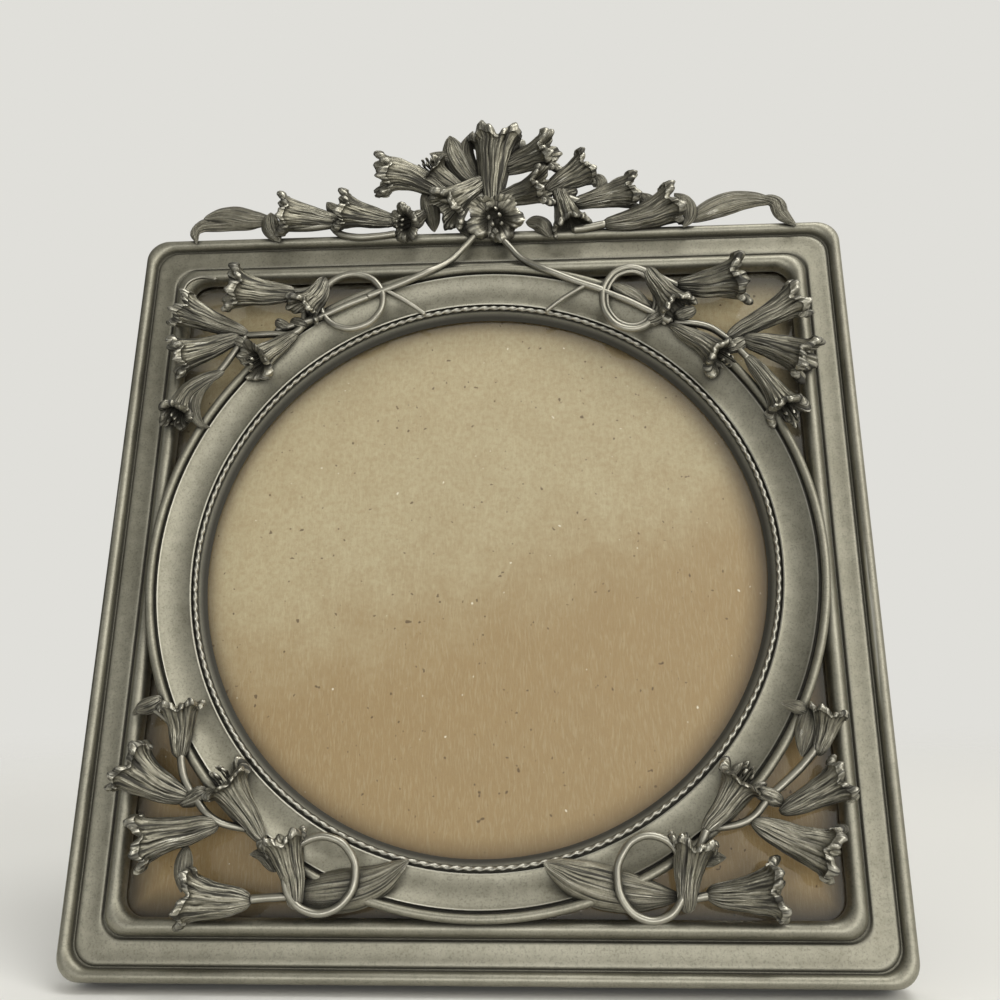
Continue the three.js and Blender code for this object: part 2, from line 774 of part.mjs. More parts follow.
// Turn buttons, each on its own screw
const buttonFront = -seatGap;
const buttonBack = buttonFront - buttonThickness;
const headFront = buttonBack - seatGap;
const headBack = headFront - screwHeadHeight;
for (const { name, x, y } of screwSpots) {
  const outline = new THREE.Shape();
  outline.absarc(0, 0, buttonRadius, Math.PI / 2, (3 * Math.PI) / 2, false);
  outline.absarc(buttonReach, 0, buttonRadius, -Math.PI / 2, Math.PI / 2, false);
  const blank = plate(outline, buttonBack, buttonFront);
  const hole = peg(0, 0, screwRadius + pivotClearance, buttonBack - seatGap, buttonFront + seatGap);
  const pivot = new THREE.Group();
  pivot.position.set(x, y, 0);
  pivot.rotation.z = x > 0 ? Math.PI : 0;
  frame.add(pivot);
  place(`turn_button_${name}`, blank.subtract(hole), brassed, pivot);
  const shank = peg(x, y, screwRadius, headBack, screwDepth);
  const head = peg(x, y, screwHeadRadius, headBack, headFront);
  place(`button_screw_${name}`, shank.add(head), brassed);
}

// Hinge: the upper leaf is riveted to the back, the lower leaf to the leg
const pinDepth = seatGap + barrelRadius;
const upperKnuckles = [-1, 1].map((side) => {
  const middleX = side * (knuckleLength + knuckleGap);
  return bar(middleX - knuckleLength / 2, middleX + knuckleLength / 2, hingeHeight, -pinDepth, barrelRadius);
});
const pinHole = bar(-leafWidth, leafWidth, hingeHeight, -pinDepth, pinRadius + pivotClearance);
const stopNotch = box(
  -knuckleLength / 2 - knuckleGap,
  knuckleLength / 2 + knuckleGap,
  hingeHeight - seatGap,
  hingeHeight + barrelRadius + knuckleGap,
  -2 * pinDepth,
  0,
);
const upperLeaf = box(
  -leafWidth / 2,
  leafWidth / 2,
  upperLeafBottom,
  upperLeafBottom + leafLength,
  -seatGap - leafThickness,
  -seatGap,
);
const leafHoles = rivetXs.map((x) => peg(x, upperRivetY, holeRadius, -2 * pinDepth, 0));
const upperLeafBody = joinAll([upperLeaf.subtract(stopNotch), ...upperKnuckles]);
place("hinge_leaf_upper", cutAll(upperLeafBody, [pinHole, ...leafHoles]), brassed);
const pinHalf = 1.5 * knuckleLength + knuckleGap;
place("hinge_pin", bar(-pinHalf, pinHalf, hingeHeight, -pinDepth, pinRadius), brassed);

function rivet(x, y, headBackLevel, tipLevel) {
  const head = peg(x, y, rivetHeadRadius, headBackLevel, headBackLevel + rivetHeadHeight);
  const shank = peg(x, y, rivetRadius, headBackLevel + rivetHeadHeight / 2, tipLevel);
  return head.add(shank);
}
const upperHeadBack = -2 * seatGap - leafThickness - rivetHeadHeight;
rivetXs.forEach((x, i) => {
  place(`board_rivet_${i + 1}`, rivet(x, upperRivetY, upperHeadBack, boardFront), brassed);
});

// Easel leg: its own frame has the pin at the origin, the leg hanging down and the back in front of it
const leg = new THREE.Group();
leg.position.set(0, hingeHeight, -pinDepth);
leg.rotation.x = THREE.MathUtils.degToRad(legOpenAngle);
frame.add(leg);

const lowerLeafFront = leafThickness / 2;
const lowerLeafBack = -leafThickness / 2;
const legCoverFront = lowerLeafBack - seatGap;
const legBoardFront = legCoverFront - velvetThickness - seatGap;
const legBoardBack = legBoardFront - legBoardThickness;
const legCoverBack = legBoardBack - seatGap - velvetThickness;

// The foot's end is level with the table when the leg is open.
const lean = THREE.MathUtils.degToRad(leanAngle);
const legSlope = THREE.MathUtils.degToRad(legOpenAngle - leanAngle);
const pinHeight = (halfHeight + hingeHeight) * Math.cos(lean) - pinDepth * Math.sin(lean);
const legLength = pinHeight / Math.cos(legSlope);

function legBlank(inset, top, back, front) {
  const spread = (legFootWidth - legTopWidth) / 2 / (legLength - legTopSetback);
  const slant = Math.hypot(1, spread);
  const bottom = -2 * legLength;
  const halfAt = (y) => legTopWidth / 2 - spread * (y + legTopSetback) - inset * slant;
  const outline = new THREE.Shape();
  outline.moveTo(-halfAt(top), top);
  outline.lineTo(-halfAt(bottom), bottom);
  outline.lineTo(halfAt(bottom), bottom);
  outline.lineTo(halfAt(top), top);
  const tableSize = 4 * legLength;
  const table = new THREE.BoxGeometry(tableSize, tableSize, tableSize);
  table.translate(0, inset - tableSize / 2, 0);
  table.rotateX(-legSlope);
  table.translate(0, -legLength, 0);
  return plate(outline, back, front).subtract(toSolid(table));
}

const legRivetHoles = rivetXs.map((x) => peg(x, -rivetSetback, holeRadius, 4 * legCoverBack, pinDepth));
const coverBlank = legBlank(0, -legTopSetback, legCoverBack, legCoverFront);
const legBoardSpaceBack = legCoverBack + velvetThickness;
const legBoardSpaceFront = legCoverFront - velvetThickness;
const coverCavity = legBlank(velvetThickness, 0, legBoardSpaceBack, legBoardSpaceFront);
place("leg_velvet", cutAll(coverBlank, [coverCavity, ...legRivetHoles]), velvet, leg);
const legBoard = legBlank(velvetThickness + seatGap, -legTopSetback, legBoardBack, legBoardFront);
place("easel_leg", cutAll(legBoard, legRivetHoles), fibreboard, leg);

const middleKnuckle = bar(-knuckleLength / 2, knuckleLength / 2, 0, 0, barrelRadius);
const lowerLeaf = box(-leafWidth / 2, leafWidth / 2, -leafLength, 0, lowerLeafBack, lowerLeafFront);
const knuckleNotches = [-1, 1].map((side) => {
  const inner = side * (knuckleLength / 2);
  const outer = side * leafWidth;
  const left = Math.min(inner, outer);
  const right = Math.max(inner, outer);
  return box(left, right, -barrelRadius - knuckleGap, seatGap, -pinDepth, pinDepth);
});

// The stop lip stands against the upper leaf when the leg is open.
const lipReach = barrelRadius + stopLipLength;
const lipGeometry = new THREE.BoxGeometry(knuckleLength, lipReach, leafThickness);
lipGeometry.translate(0, lipReach / 2, 0);
lipGeometry.rotateX(-THREE.MathUtils.degToRad(legOpenAngle));
const stopLip = toSolid(lipGeometry);
const legPinHole = bar(-leafWidth, leafWidth, 0, 0, pinRadius + pivotClearance);
const lowerLeafBody = joinAll([lowerLeaf.subtract(joinAll(knuckleNotches)), middleKnuckle, stopLip]);
place("hinge_leaf_lower", cutAll(lowerLeafBody, [legPinHole, ...legRivetHoles]), brassed, leg);

const legHeadBack = legCoverBack - seatGap - rivetHeadHeight;
rivetXs.forEach((x, i) => {
  place(`leg_rivet_${i + 1}`, rivet(x, -rivetSetback, legHeadBack, lowerLeafFront), brassed, leg);
});

// The frame leans back on its lower back edge; the origin is the middle of its footprint on the table.
frame.rotation.x = Math.PI / 2 - lean;
frame.position.z = halfHeight * Math.cos(lean);
part.updateMatrixWorld(true);
const footprint = new THREE.Box3().setFromObject(part, true).getCenter(new THREE.Vector3());
frame.position.x = -footprint.x;
frame.position.y = -footprint.y;
part.updateMatrixWorld(true);

export default part;
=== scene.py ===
# %% [markdown]
# # A cast pewter picture frame
# The object is a square tabletop frame of cast pewter. A round mat with a twisted rope edge sits in
# its opening, trumpet-vine sprays climb its corners, and a crest of the same vine stands on its top
# edge. Behind it are a velvet-covered board and an easel leg on a hinge. This file dresses the
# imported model: pieces whose shape is already right keep it and get a finish, and the others are
# modelled here in the same place.

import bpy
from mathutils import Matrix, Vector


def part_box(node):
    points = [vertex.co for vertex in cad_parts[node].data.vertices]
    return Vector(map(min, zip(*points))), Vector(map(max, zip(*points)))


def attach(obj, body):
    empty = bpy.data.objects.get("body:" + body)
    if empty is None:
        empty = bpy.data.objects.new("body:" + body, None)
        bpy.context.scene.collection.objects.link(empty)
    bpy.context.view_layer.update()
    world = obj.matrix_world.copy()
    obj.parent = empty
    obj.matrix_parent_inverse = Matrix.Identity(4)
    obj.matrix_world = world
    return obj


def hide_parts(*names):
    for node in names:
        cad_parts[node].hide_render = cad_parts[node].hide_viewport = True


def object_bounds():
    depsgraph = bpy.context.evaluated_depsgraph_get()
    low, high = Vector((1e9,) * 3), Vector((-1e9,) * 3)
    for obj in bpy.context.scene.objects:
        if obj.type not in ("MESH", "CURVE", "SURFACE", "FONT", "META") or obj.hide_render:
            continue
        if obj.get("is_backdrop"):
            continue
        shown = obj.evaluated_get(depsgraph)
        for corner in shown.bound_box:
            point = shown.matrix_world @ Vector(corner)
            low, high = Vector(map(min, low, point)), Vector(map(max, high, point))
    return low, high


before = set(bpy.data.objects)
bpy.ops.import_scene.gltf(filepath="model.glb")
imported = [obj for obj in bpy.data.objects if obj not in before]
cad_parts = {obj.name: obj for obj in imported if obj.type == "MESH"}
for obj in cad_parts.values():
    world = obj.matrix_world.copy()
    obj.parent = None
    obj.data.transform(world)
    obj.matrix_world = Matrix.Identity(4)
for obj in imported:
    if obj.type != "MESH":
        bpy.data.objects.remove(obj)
cad_low, cad_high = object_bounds()

# %% [markdown]
# ## Working on the bench, then standing the frame up
# It is easiest to model a frame as it lies on a bench: x to the right, y up the picture, z out of
# its face, with z = 0 at the moulding's back. Every piece is made that way in metres, and one matrix
# stands it up at the end, leaning back by fifteen degrees on its lower back edge.

# %% Measures and the standing matrix
import math
import random
from contextlib import contextmanager

import bmesh
import bpy
from mathutils import Matrix, Vector, noise

MM = 0.001
HALF_WIDTH = 75.0
HALF_HEIGHT = 75.85
LEAN = math.radians(15)
LEG_OPEN = math.radians(38)

moulding_back_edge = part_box("outer_moulding")[1].y
stand_y = moulding_back_edge - HALF_HEIGHT * MM * math.sin(LEAN)
stand_z = HALF_HEIGHT * MM * math.cos(LEAN)
standing = Matrix.Translation((0, stand_y, stand_z)) @ Matrix.Rotation(math.pi / 2 - LEAN, 4, "X")
print("the bench's origin stands at", [round(v, 4) for v in standing.translation])

# %% [markdown]
# ## Small helpers for modelling by hand
# Operators act on whatever is selected, so each helper clears the selection first. `editing` opens
# one object in edit mode and always closes it again. `pick` selects vertices by their place.

# %% Selection and edit mode
def clear_selection():
    bpy.ops.object.select_all(action="DESELECT")


def only(piece):
    clear_selection()
    piece.select_set(True)
    bpy.context.view_layer.objects.active = piece


@contextmanager
def editing(piece, mode="VERT"):
    only(piece)
    bpy.ops.object.mode_set(mode="EDIT")
    bpy.ops.mesh.select_mode(type=mode)
    yield
    bpy.ops.object.mode_set(mode="OBJECT")


def pick(piece, test):
    """Selects the vertices whose place passes the test, and the edges and faces between them."""
    shape = bmesh.from_edit_mesh(piece.data)
    shape.select_mode = {"VERT"}
    for vertex in shape.verts:
        vertex.select = test(vertex.co / MM)
    shape.select_flush_mode()
    bmesh.update_edit_mesh(piece.data)


def added(name):
    piece = bpy.context.object
    piece.name = name
    return piece


def apply_modifiers(piece):
    only(piece)
    for modifier in list(piece.modifiers):
        bpy.ops.object.modifier_apply(modifier=modifier.name)


def join(name, pieces):
    clear_selection()
    for piece in pieces:
        piece.select_set(True)
    bpy.context.view_layer.objects.active = pieces[0]
    if len(pieces) > 1:
        bpy.ops.object.join()
    return added(name)


def copy_of(piece, name="copy"):
    twin = piece.copy()
    twin.data = piece.data.copy()
    twin.name = name
    bpy.context.collection.objects.link(twin)
    return twin


def discard(piece):
    bpy.data.objects.remove(piece)


def lay_along(piece, way):
    """Lays an upright form along a curve from end to end, and discards the curve."""
    way.data.use_stretch = True
    way.data.use_deform_bounds = True
    lay = piece.modifiers.new("lay", "CURVE")
    lay.object = way
    lay.deform_axis = "POS_Z"
    apply_modifiers(piece)
    discard(way)


# %% [markdown]
# ## Finishing a piece
# When a piece is modelled, it is stood up, its faces are turned outwards, its smooth faces are
# shaded smooth, and it is told which body of the model it moves with. The piece then stands for the
# imported node of the same place.

# %% Standing up, finishing and riding
def triangles(piece):
    return sum(len(face.vertices) - 2 for face in piece.data.polygons)


def finish_piece(piece, body, finish, replaces, place=standing, smooth=40):
    piece.data.transform(piece.matrix_basis)
    piece.matrix_basis = Matrix.Identity(4)
    piece.data.transform(place)
    only(piece)
    if smooth:
        bpy.ops.object.shade_smooth_by_angle(angle=math.radians(smooth))
    piece.data.materials.clear()
    piece.data.materials.append(finish)
    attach(piece, body)
    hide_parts(*replaces)
    print(piece.name, "rides on", body, "with", triangles(piece), "triangles")


def outward(piece):
    with editing(piece):
        bpy.ops.mesh.select_all(action="SELECT")
        bpy.ops.mesh.normals_make_consistent(inside=False)


# %% [markdown]
# ## Shader maths as Python
# A material's pattern is arithmetic on sockets. `Link` wraps one output socket and overloads the
# operators, so `1 - mask` or `grain * 0.5` adds its own Math nodes. Every other node comes from
# `Wiring.node`, which takes the node's type, its settings and its inputs.

# %% Links, wiring and a material's finish
class Link:
    def __init__(self, wiring, socket):
        self.wiring = wiring
        self.socket = socket

    def maths(self, operation, first, second=None, clamp=False):
        values = {0: first} if second is None else {0: first, 1: second}
        settings = {"operation": operation, "use_clamp": clamp}
        return self.wiring.node("ShaderNodeMath", settings, values)

    def __add__(self, other):
        return self.maths("ADD", self, other)

    def __sub__(self, other):
        return self.maths("SUBTRACT", self, other)

    def __mul__(self, other):
        return self.maths("MULTIPLY", self, other)

    def __rsub__(self, other):
        return self.maths("SUBTRACT", other, self)

    __radd__ = __add__

    def clamped(self):
        return self.maths("ADD", self, 0.0, clamp=True)

    def absolute(self):
        return self.maths("ABSOLUTE", self)

    def at_least(self, other):
        return self.maths("MAXIMUM", self, other)

    def between(self, low, high):
        """0 below low, 1 above high, and an easy slope from one to the other."""
        settings = {"interpolation_type": "SMOOTHSTEP"}
        inputs = {"Value": self, "From Min": low, "From Max": high}
        return self.wiring.node("ShaderNodeMapRange", settings, inputs, "Result")


class Wiring:
    def __init__(self, tree):
        self.tree = tree

    def node(self, kind, settings=None, inputs=None, output=0):
        made = self.tree.nodes.new(kind)
        for key, value in (settings or {}).items():
            setattr(made, key, value)
        for key, value in (inputs or {}).items():
            self.plug(made.inputs[key], value)
        return Link(self, made.outputs[output])

    def plug(self, socket, value):
        if isinstance(value, Link):
            self.tree.links.new(value.socket, socket)
        else:
            socket.default_value = value

    def place(self):
        return self.node("ShaderNodeTexCoord", output="Object")

    def noise(self, where, size, detail=3.0, roughness=0.55, distortion=0.0):
        """Noise whose blobs are about size metres wide, from 0 to 1."""
        inputs = {
            "Vector": where,
            "Scale": 1 / size,
            "Detail": detail,
            "Roughness": roughness,
            "Distortion": distortion,
        }
        return self.node("ShaderNodeTexNoise", {"normalize": True}, inputs, 0)

    def along(self, where, direction):
        """How far the places lie along a direction, in metres."""
        values = {0: where, 1: direction}
        return self.node("ShaderNodeVectorMath", {"operation": "DOT_PRODUCT"}, values, "Value")

    def length(self, where):
        """How far the places lie from the origin, in metres."""
        return self.node("ShaderNodeVectorMath", {"operation": "LENGTH"}, {0: where}, "Value")

    def open_sky(self, reach):
        """1 on an open surface, towards 0 in a recess, as seen within reach metres."""
        return self.node("ShaderNodeAmbientOcclusion", {"samples": 6}, {"Distance": reach}, "AO")

    def stretched(self, where, turn, scale):
        """Turns the places first, then draws a pattern out along its own axes."""
        settings = {"vector_type": "TEXTURE"}
        inputs = {"Vector": where, "Rotation": turn, "Scale": scale}
        return self.node("ShaderNodeMapping", settings, inputs)

    def mix(self, amount, first, second):
        made = self.tree.nodes.new("ShaderNodeMix")
        made.data_type = "RGBA"
        self.plug(made.inputs["Factor"], amount)
        self.plug(made.inputs["A"], first)
        self.plug(made.inputs["B"], second)
        return Link(self, made.outputs["Result"])

    def bump(self, height, distance, strength=1.0, under=None):
        inputs = {"Height": height, "Distance": distance, "Strength": strength}
        if under:
            inputs["Normal"] = under
        return self.node("ShaderNodeBump", {}, inputs)


class Finish(Wiring):
    def __init__(self, name):
        self.material = bpy.data.materials.new(name)
        self.material.use_nodes = True
        super().__init__(self.material.node_tree)
        self.shader = self.tree.nodes["Principled BSDF"]
        self.out = self.tree.nodes["Material Output"]

    def set(self, **values):
        for name, value in values.items():
            self.plug(self.shader.inputs[name.replace("_", " ")], value)


def colour(red, green, blue):
    """A colour as the eye names it, 0 to 255, in the light's own scale."""
    def linear(value):
        value = value / 255
        return value / 12.92 if value <= 0.04045 else ((value + 0.055) / 1.055) ** 2.4

    return (linear(red), linear(green), linear(blue), 1.0)


# %% [markdown]
# ## The pewter finish
# Antiqued pewter is a warm grey metal, rubbed bright where a thumb or cloth reaches and left dark
# in every recess, where the patina stays. The recesses are found by ambient occlusion over a
# distance of one or two millimetres, and the rubbed edges by the mesh's pointiness. Cast metal also
# has a fine grain, which breaks up its reflections.

# %% Pewter
PLAIN_TONES = (colour(116, 113, 99), colour(152, 149, 134))
FLOWER_TONES = (colour(98, 95, 82), colour(152, 148, 132))
ROPE_TONES = (colour(52, 50, 43), colour(84, 81, 70))
RUBBED = colour(204, 201, 188)
PATINA = colour(40, 38, 31)
# inside this radius the ring's bore wall is painted dark: partly patina, partly painted shade and a painted
# reflection of the dark card
SHADED_BORE = 56.3 * MM


def on_bench(finish, where):
    """Places of the standing frame as they were on the bench, measured from the ring's middle."""
    settings = {"vector_type": "TEXTURE"}
    inputs = {"Vector": where, "Location": standing.translation, "Rotation": standing.to_euler()}
    return finish.node("ShaderNodeMapping", settings, inputs)


def pewter(name, reach, patina=1.0, tones=PLAIN_TONES, rough=0.36, rub=0.8, fluted=False, bore=0):
    """reach is how far the patina creeps out of a recess, and inside the radius bore a wall gets patina and
    painted shade, in metres.
    """
    finish = Finish(name)
    where = finish.place()
    cloud = finish.noise(where, 14 * MM, detail=4)
    mottle = finish.noise(where, 2.2 * MM, detail=5, roughness=0.65)
    grit = finish.noise(where, 0.28 * MM, detail=2)
    grain = finish.noise(where, 0.42 * MM, detail=3, roughness=0.75)
    edge = finish.node("ShaderNodeNewGeometry", output="Pointiness").between(0.5, 0.58)
    recess = 1 - finish.open_sky(reach).between(0.42, 0.95)
    dark = recess * (0.75 + mottle * 0.5) * patina
    relief = finish.bump(mottle, 0.03 * MM, 0.5)
    if fluted:
        flow = finish.node("ShaderNodeAttribute", {"attribute_name": "flow"}, {}, "Vector")
        streak = finish.noise(flow, 0.2, detail=3, roughness=0.6)
        scratch = finish.noise(flow, 0.08, detail=2)
        dark = dark.at_least((1 - streak.between(0.38, 0.54)) * 0.95)
        relief = finish.bump(streak + scratch * 0.4, 0.3 * MM, 0.9, under=relief)
    # painted shade: the bore's wall is painted dark, partly patina, partly the shade it stands in and the
    # dark card it mirrors
    if bore:
        level = {0: on_bench(finish, where), 1: (1, 1, 0)}
        flat = finish.node("ShaderNodeVectorMath", {"operation": "MULTIPLY"}, level)
        wall = 1 - finish.length(flat).between(bore - 1.1 * MM, bore + 0.4 * MM)
        dark = dark.at_least(wall * 0.95)
    dark = dark.clamped()
    tone = finish.mix((cloud * 0.5 + mottle * 0.5).between(0.15, 0.8), *tones)
    tone = finish.mix(grain.between(0.48, 0.68) * 0.3, tone, PATINA)
    rubbed = finish.mix(edge * rub, tone, RUBBED)
    finish.set(Base_Color=finish.mix(dark, rubbed, PATINA), Metallic=1 - dark * 0.55)
    finish.set(Roughness=(rough + mottle * 0.1 + grain * 0.12 + dark * 0.25 - edge * 0.08).clamped())
    finish.set(Normal=finish.bump(grit, 0.014 * MM, 0.7, under=relief))
    print("made the finish", name)
    return finish.material


cast_pewter = pewter("cast_pewter", 1.6 * MM)
ring_pewter = pewter("ring_pewter", 1.6 * MM, rub=0.5, bore=SHADED_BORE)
flower_pewter = pewter("flower_pewter", 2.8 * MM, 1.45, FLOWER_TONES, 0.24, rub=0.55, fluted=True)
rope_pewter = pewter("rope_pewter", 0.8 * MM, 1.6, ROPE_TONES, 0.34, rub=0.6)

# %% [markdown]
# ## Sweeping a moulding's profile
# A frame's moulding is one profile carried round a rounded rectangle, and the ring mat is one
# profile carried round a circle. Both can be made the same way by hand: a loop of edges is extruded
# again and again, and each new loop is scaled in to its inset and lifted to its level. The last loop
# is bridged to the first, which closes the body.

# %% Walking a loop of edges along a profile
def walk_profile(piece, half_x, half_y, profile, closed=True):
    """profile is a list of (inset from the outer edge, level) in millimetres."""
    with editing(piece, "EDGE"):
        bpy.ops.mesh.select_all(action="SELECT")
        last_inset, last_level = profile[0]
        for inset, level in profile[1:]:
            lift = {"value": (0, 0, (level - last_level) * MM)}
            bpy.ops.mesh.extrude_edges_move(TRANSFORM_OT_translate=lift)
            scale_x = (half_x - inset) / (half_x - last_inset)
            scale_y = (half_y - inset) / (half_y - last_inset)
            bpy.ops.transform.resize(value=(scale_x, scale_y, 1), center_override=(0, 0, 0))
            last_inset, last_level = inset, level
        bpy.ops.mesh.select_all(action="DESELECT")
        bpy.ops.mesh.select_non_manifold()
        if closed:
            bpy.ops.mesh.bridge_edge_loops()
        else:
            bpy.ops.mesh.fill_holes(sides=0)
    outward(piece)


def half_round(start, width, level, rise, steps=12):
    """The points of a bead: half an ellipse over a stretch of the profile."""
    points = []
    for step in range(steps + 1):
        angle = math.pi * (1 - step / steps)
        across = start + width / 2 * (1 + math.cos(angle))
        points.append((across, level + rise * math.sin(angle)))
    return points


def hollow(start, end, start_level, end_level, depth, steps=14):
    """The points of a cove: a shallow arc that sinks below the straight line between its ends."""
    points = []
    for step in range(steps + 1):
        share = step / steps
        level = start_level + share * (end_level - start_level) - 4 * depth * share * (1 - share)
        points.append((start + share * (end - start), level))
    return points


# %% [markdown]
# ## The outer moulding
# From its outer edge inwards, the moulding has a round bead, a fine step, a flat band, a dark
# groove, and a larger bead around the opening. A rebate behind the inner bead holds the glass, the
# card and the back.

# %% The moulding's outline and profile
OUTER_BEAD = 2.4
BAND_START = 3.0
BAND_END = 7.2
INNER_BEAD_START = 7.8
MOULDING_WIDTH = 11.0
REBATE_INSET = 7.6
BAND_LEVEL = 7.6
LIP_LEVEL = 6.3
CORNER_RADIUS = 4.5

moulding_profile = [
    (0.3, 0.0),
    (0.08, 0.08),
    (0.0, 0.3),
    *half_round(0, OUTER_BEAD, BAND_LEVEL - 0.1, 1.35, 14),
    (OUTER_BEAD + 0.12, BAND_LEVEL - 0.34),
    (OUTER_BEAD + 0.34, BAND_LEVEL - 0.36),
    (BAND_START, BAND_LEVEL - 0.12),
    (BAND_START + 0.3, BAND_LEVEL - 0.02),
    *hollow(BAND_START + 0.6, BAND_END - 0.45, BAND_LEVEL, BAND_LEVEL, 0.1, 6),
    (BAND_END - 0.2, BAND_LEVEL - 0.02),
    (BAND_END - 0.02, BAND_LEVEL - 0.12),
    (BAND_END + 0.14, BAND_LEVEL - 0.32),
    (BAND_END + 0.3, BAND_LEVEL - 0.42),
    (INNER_BEAD_START - 0.12, BAND_LEVEL - 0.42),
    *half_round(INNER_BEAD_START, MOULDING_WIDTH - INNER_BEAD_START, BAND_LEVEL - 0.25, 2.05, 16),
    (MOULDING_WIDTH, LIP_LEVEL + 0.2),
    (MOULDING_WIDTH - 0.15, LIP_LEVEL),
    (REBATE_INSET + 0.05, LIP_LEVEL),
    (REBATE_INSET, LIP_LEVEL - 0.1),
    (REBATE_INSET, 0.25),
    (REBATE_INSET - 0.25, 0.0),
]
print("the moulding's profile has", len(moulding_profile), "points")

# %% Carry the profile round the outline
clear_selection()
bpy.ops.mesh.primitive_plane_add(size=2 * MM)
moulding = added("cast_moulding")
with editing(moulding):
    first_inset = moulding_profile[0][0]
    bpy.ops.transform.resize(value=(HALF_WIDTH - first_inset, HALF_HEIGHT - first_inset, 1))
    bpy.ops.mesh.bevel(offset=CORNER_RADIUS * MM, segments=10, affect="VERTICES")
    bpy.ops.mesh.select_all(action="SELECT")
    bpy.ops.mesh.delete(type="ONLY_FACE")
with editing(moulding, "EDGE"):
    outline = bmesh.from_edit_mesh(moulding.data)
    for edge in outline.edges:
        edge.select_set(edge.calc_length() > 50 * MM)
    bmesh.update_edit_mesh(moulding.data)
    bpy.ops.mesh.subdivide(number_cuts=16)
walk_profile(moulding, HALF_WIDTH, HALF_HEIGHT, moulding_profile)
finish_piece(moulding, "frame", cast_pewter, ["outer_moulding"], smooth=32)

# %% [markdown]
# ## Turned pieces
# A ring, a rivet, a screw and a flower are all turned about an axis, so one helper serves them: a
# circle is extruded from level to level, and the body is closed with caps, or with a bridge when it
# is a ring.

# %% Turning a profile about z
def turned(name, profile, segments, ring=False):
    """profile is a list of (radius, level) in millimetres; caps close a body that isn't a ring."""
    first_radius, first_level = profile[0]
    clear_selection()
    bpy.ops.mesh.primitive_circle_add(vertices=segments, radius=first_radius * MM)
    piece = added(name)
    insets = [(-radius, level) for radius, level in profile]
    walk_profile(piece, 0, 0, insets, closed=ring)
    piece.data.transform(Matrix.Translation((0, 0, first_level * MM)))
    return piece


# %% [markdown]
# ## The ring mat
# The ring's outer rim is a raised wire with a groove inside it. From there a satin cove sinks
# towards the picture and rises again to a narrow shoulder, where the rope edge lies in its seat. The
# bore below the rope is chamfered down to the glass.

# %% The ring's profile, turned round a circle
RIM_WIRE = 0.85
RIM_MIDDLE = 65.0
RIM_LEVEL = 10.55
ROPE_RADIUS = 56.6
ROPE_LEVEL = 8.6
RING_BODY = 63.6
LIP_UNDERSIDE = 9.7
BORE = 55.5
BORE_FOOT = 54.8
SHOULDER = ROPE_RADIUS + 0.72

rim_wire = []
for step in range(15):
    angle = math.pi * step / 14
    rim_wire.append((RIM_MIDDLE + RIM_WIRE * math.cos(angle), RIM_LEVEL + RIM_WIRE * math.sin(angle)))
groove_radius = RIM_MIDDLE - RIM_WIRE
ring_profile = [
    (RIM_MIDDLE + RIM_WIRE - 0.1, LIP_UNDERSIDE),
    *rim_wire,
    (groove_radius - 0.1, RIM_LEVEL - 0.5),
    (groove_radius - 0.28, RIM_LEVEL - 0.55),
    (groove_radius - 0.42, RIM_LEVEL - 0.1),
    (groove_radius - 0.6, RIM_LEVEL + 0.06),
    (groove_radius - 0.8, RIM_LEVEL - 0.05),
    *hollow(groove_radius - 0.95, SHOULDER + 0.45, RIM_LEVEL - 0.2, ROPE_LEVEL + 0.25, 0.5),
    (SHOULDER + 0.3, ROPE_LEVEL + 0.3),
    (SHOULDER + 0.08, ROPE_LEVEL + 0.2),
    (SHOULDER, ROPE_LEVEL),
    (SHOULDER - 0.05, ROPE_LEVEL - 0.6),
    (BORE + 0.55, ROPE_LEVEL - 0.7),
    (BORE + 0.4, ROPE_LEVEL - 0.85),
    (BORE_FOOT, LIP_LEVEL + 0.15),
    (BORE_FOOT, LIP_LEVEL),
    (RING_BODY, LIP_LEVEL),
    (RING_BODY, LIP_UNDERSIDE),
]
ring = turned("cast_ring_mat", ring_profile, 192, ring=True)
finish_piece(ring, "frame", ring_pewter, ["ring_mat"], smooth=32)

# %% [markdown]
# ## The rope edge
# The picture's edge is a fine twisted rope of about 180 strands. One strand is an oval that turns
# by half a turn over its length. An Array sets the strands end to end, and a Curve modifier lays the
# straight rope round the circle.

# %% One strand, repeated and laid round
ROPE_STRANDS = 180
STRAND_STEPS = 5
ROPE_WIRE = 0.45
strand_length = 2 * math.pi * ROPE_RADIUS / ROPE_STRANDS

clear_selection()
bpy.ops.mesh.primitive_circle_add(vertices=10, radius=ROPE_WIRE * MM)
rope = added("rope_edge_twist")
with editing(rope, "EDGE"):
    bpy.ops.mesh.select_all(action="SELECT")
    bpy.ops.transform.resize(value=(1, 0.64, 1), center_override=(0, 0, 0))
    for step in range(STRAND_STEPS):
        lift = {"value": (0, 0, strand_length * MM / STRAND_STEPS)}
        bpy.ops.mesh.extrude_edges_move(TRANSFORM_OT_translate=lift)
        bpy.ops.transform.rotate(value=math.pi / STRAND_STEPS, orient_axis="Z", center_override=(0, 0, 0))

clear_selection()
bpy.ops.curve.primitive_bezier_circle_add(radius=ROPE_RADIUS * MM)
rope_way = added("rope_way")
rope_way.data.resolution_u = 64
row = rope.modifiers.new("row", "ARRAY")
row.count = ROPE_STRANDS
row.use_relative_offset = False
row.use_constant_offset = True
row.constant_offset_displace = (0, 0, strand_length * MM)
row.use_merge_vertices = True
row.merge_threshold = 0.01 * MM
lay_along(rope, rope_way)
with editing(rope):
    bpy.ops.mesh.select_all(action="SELECT")
    bpy.ops.mesh.remove_doubles(threshold=0.03 * MM)
outward(rope)
rope.data.transform(Matrix.Translation((0, 0, ROPE_LEVEL * MM)))
finish_piece(rope, "frame", rope_pewter, ["rope_edge"], smooth=50)

# %% [markdown]
# ## Blocks and bars
# Flat parts such as the glass, the boards and the hinge leaves start as a cube at their size and
# place. Their edges are bevelled, because a real edge always catches a thin line of light.

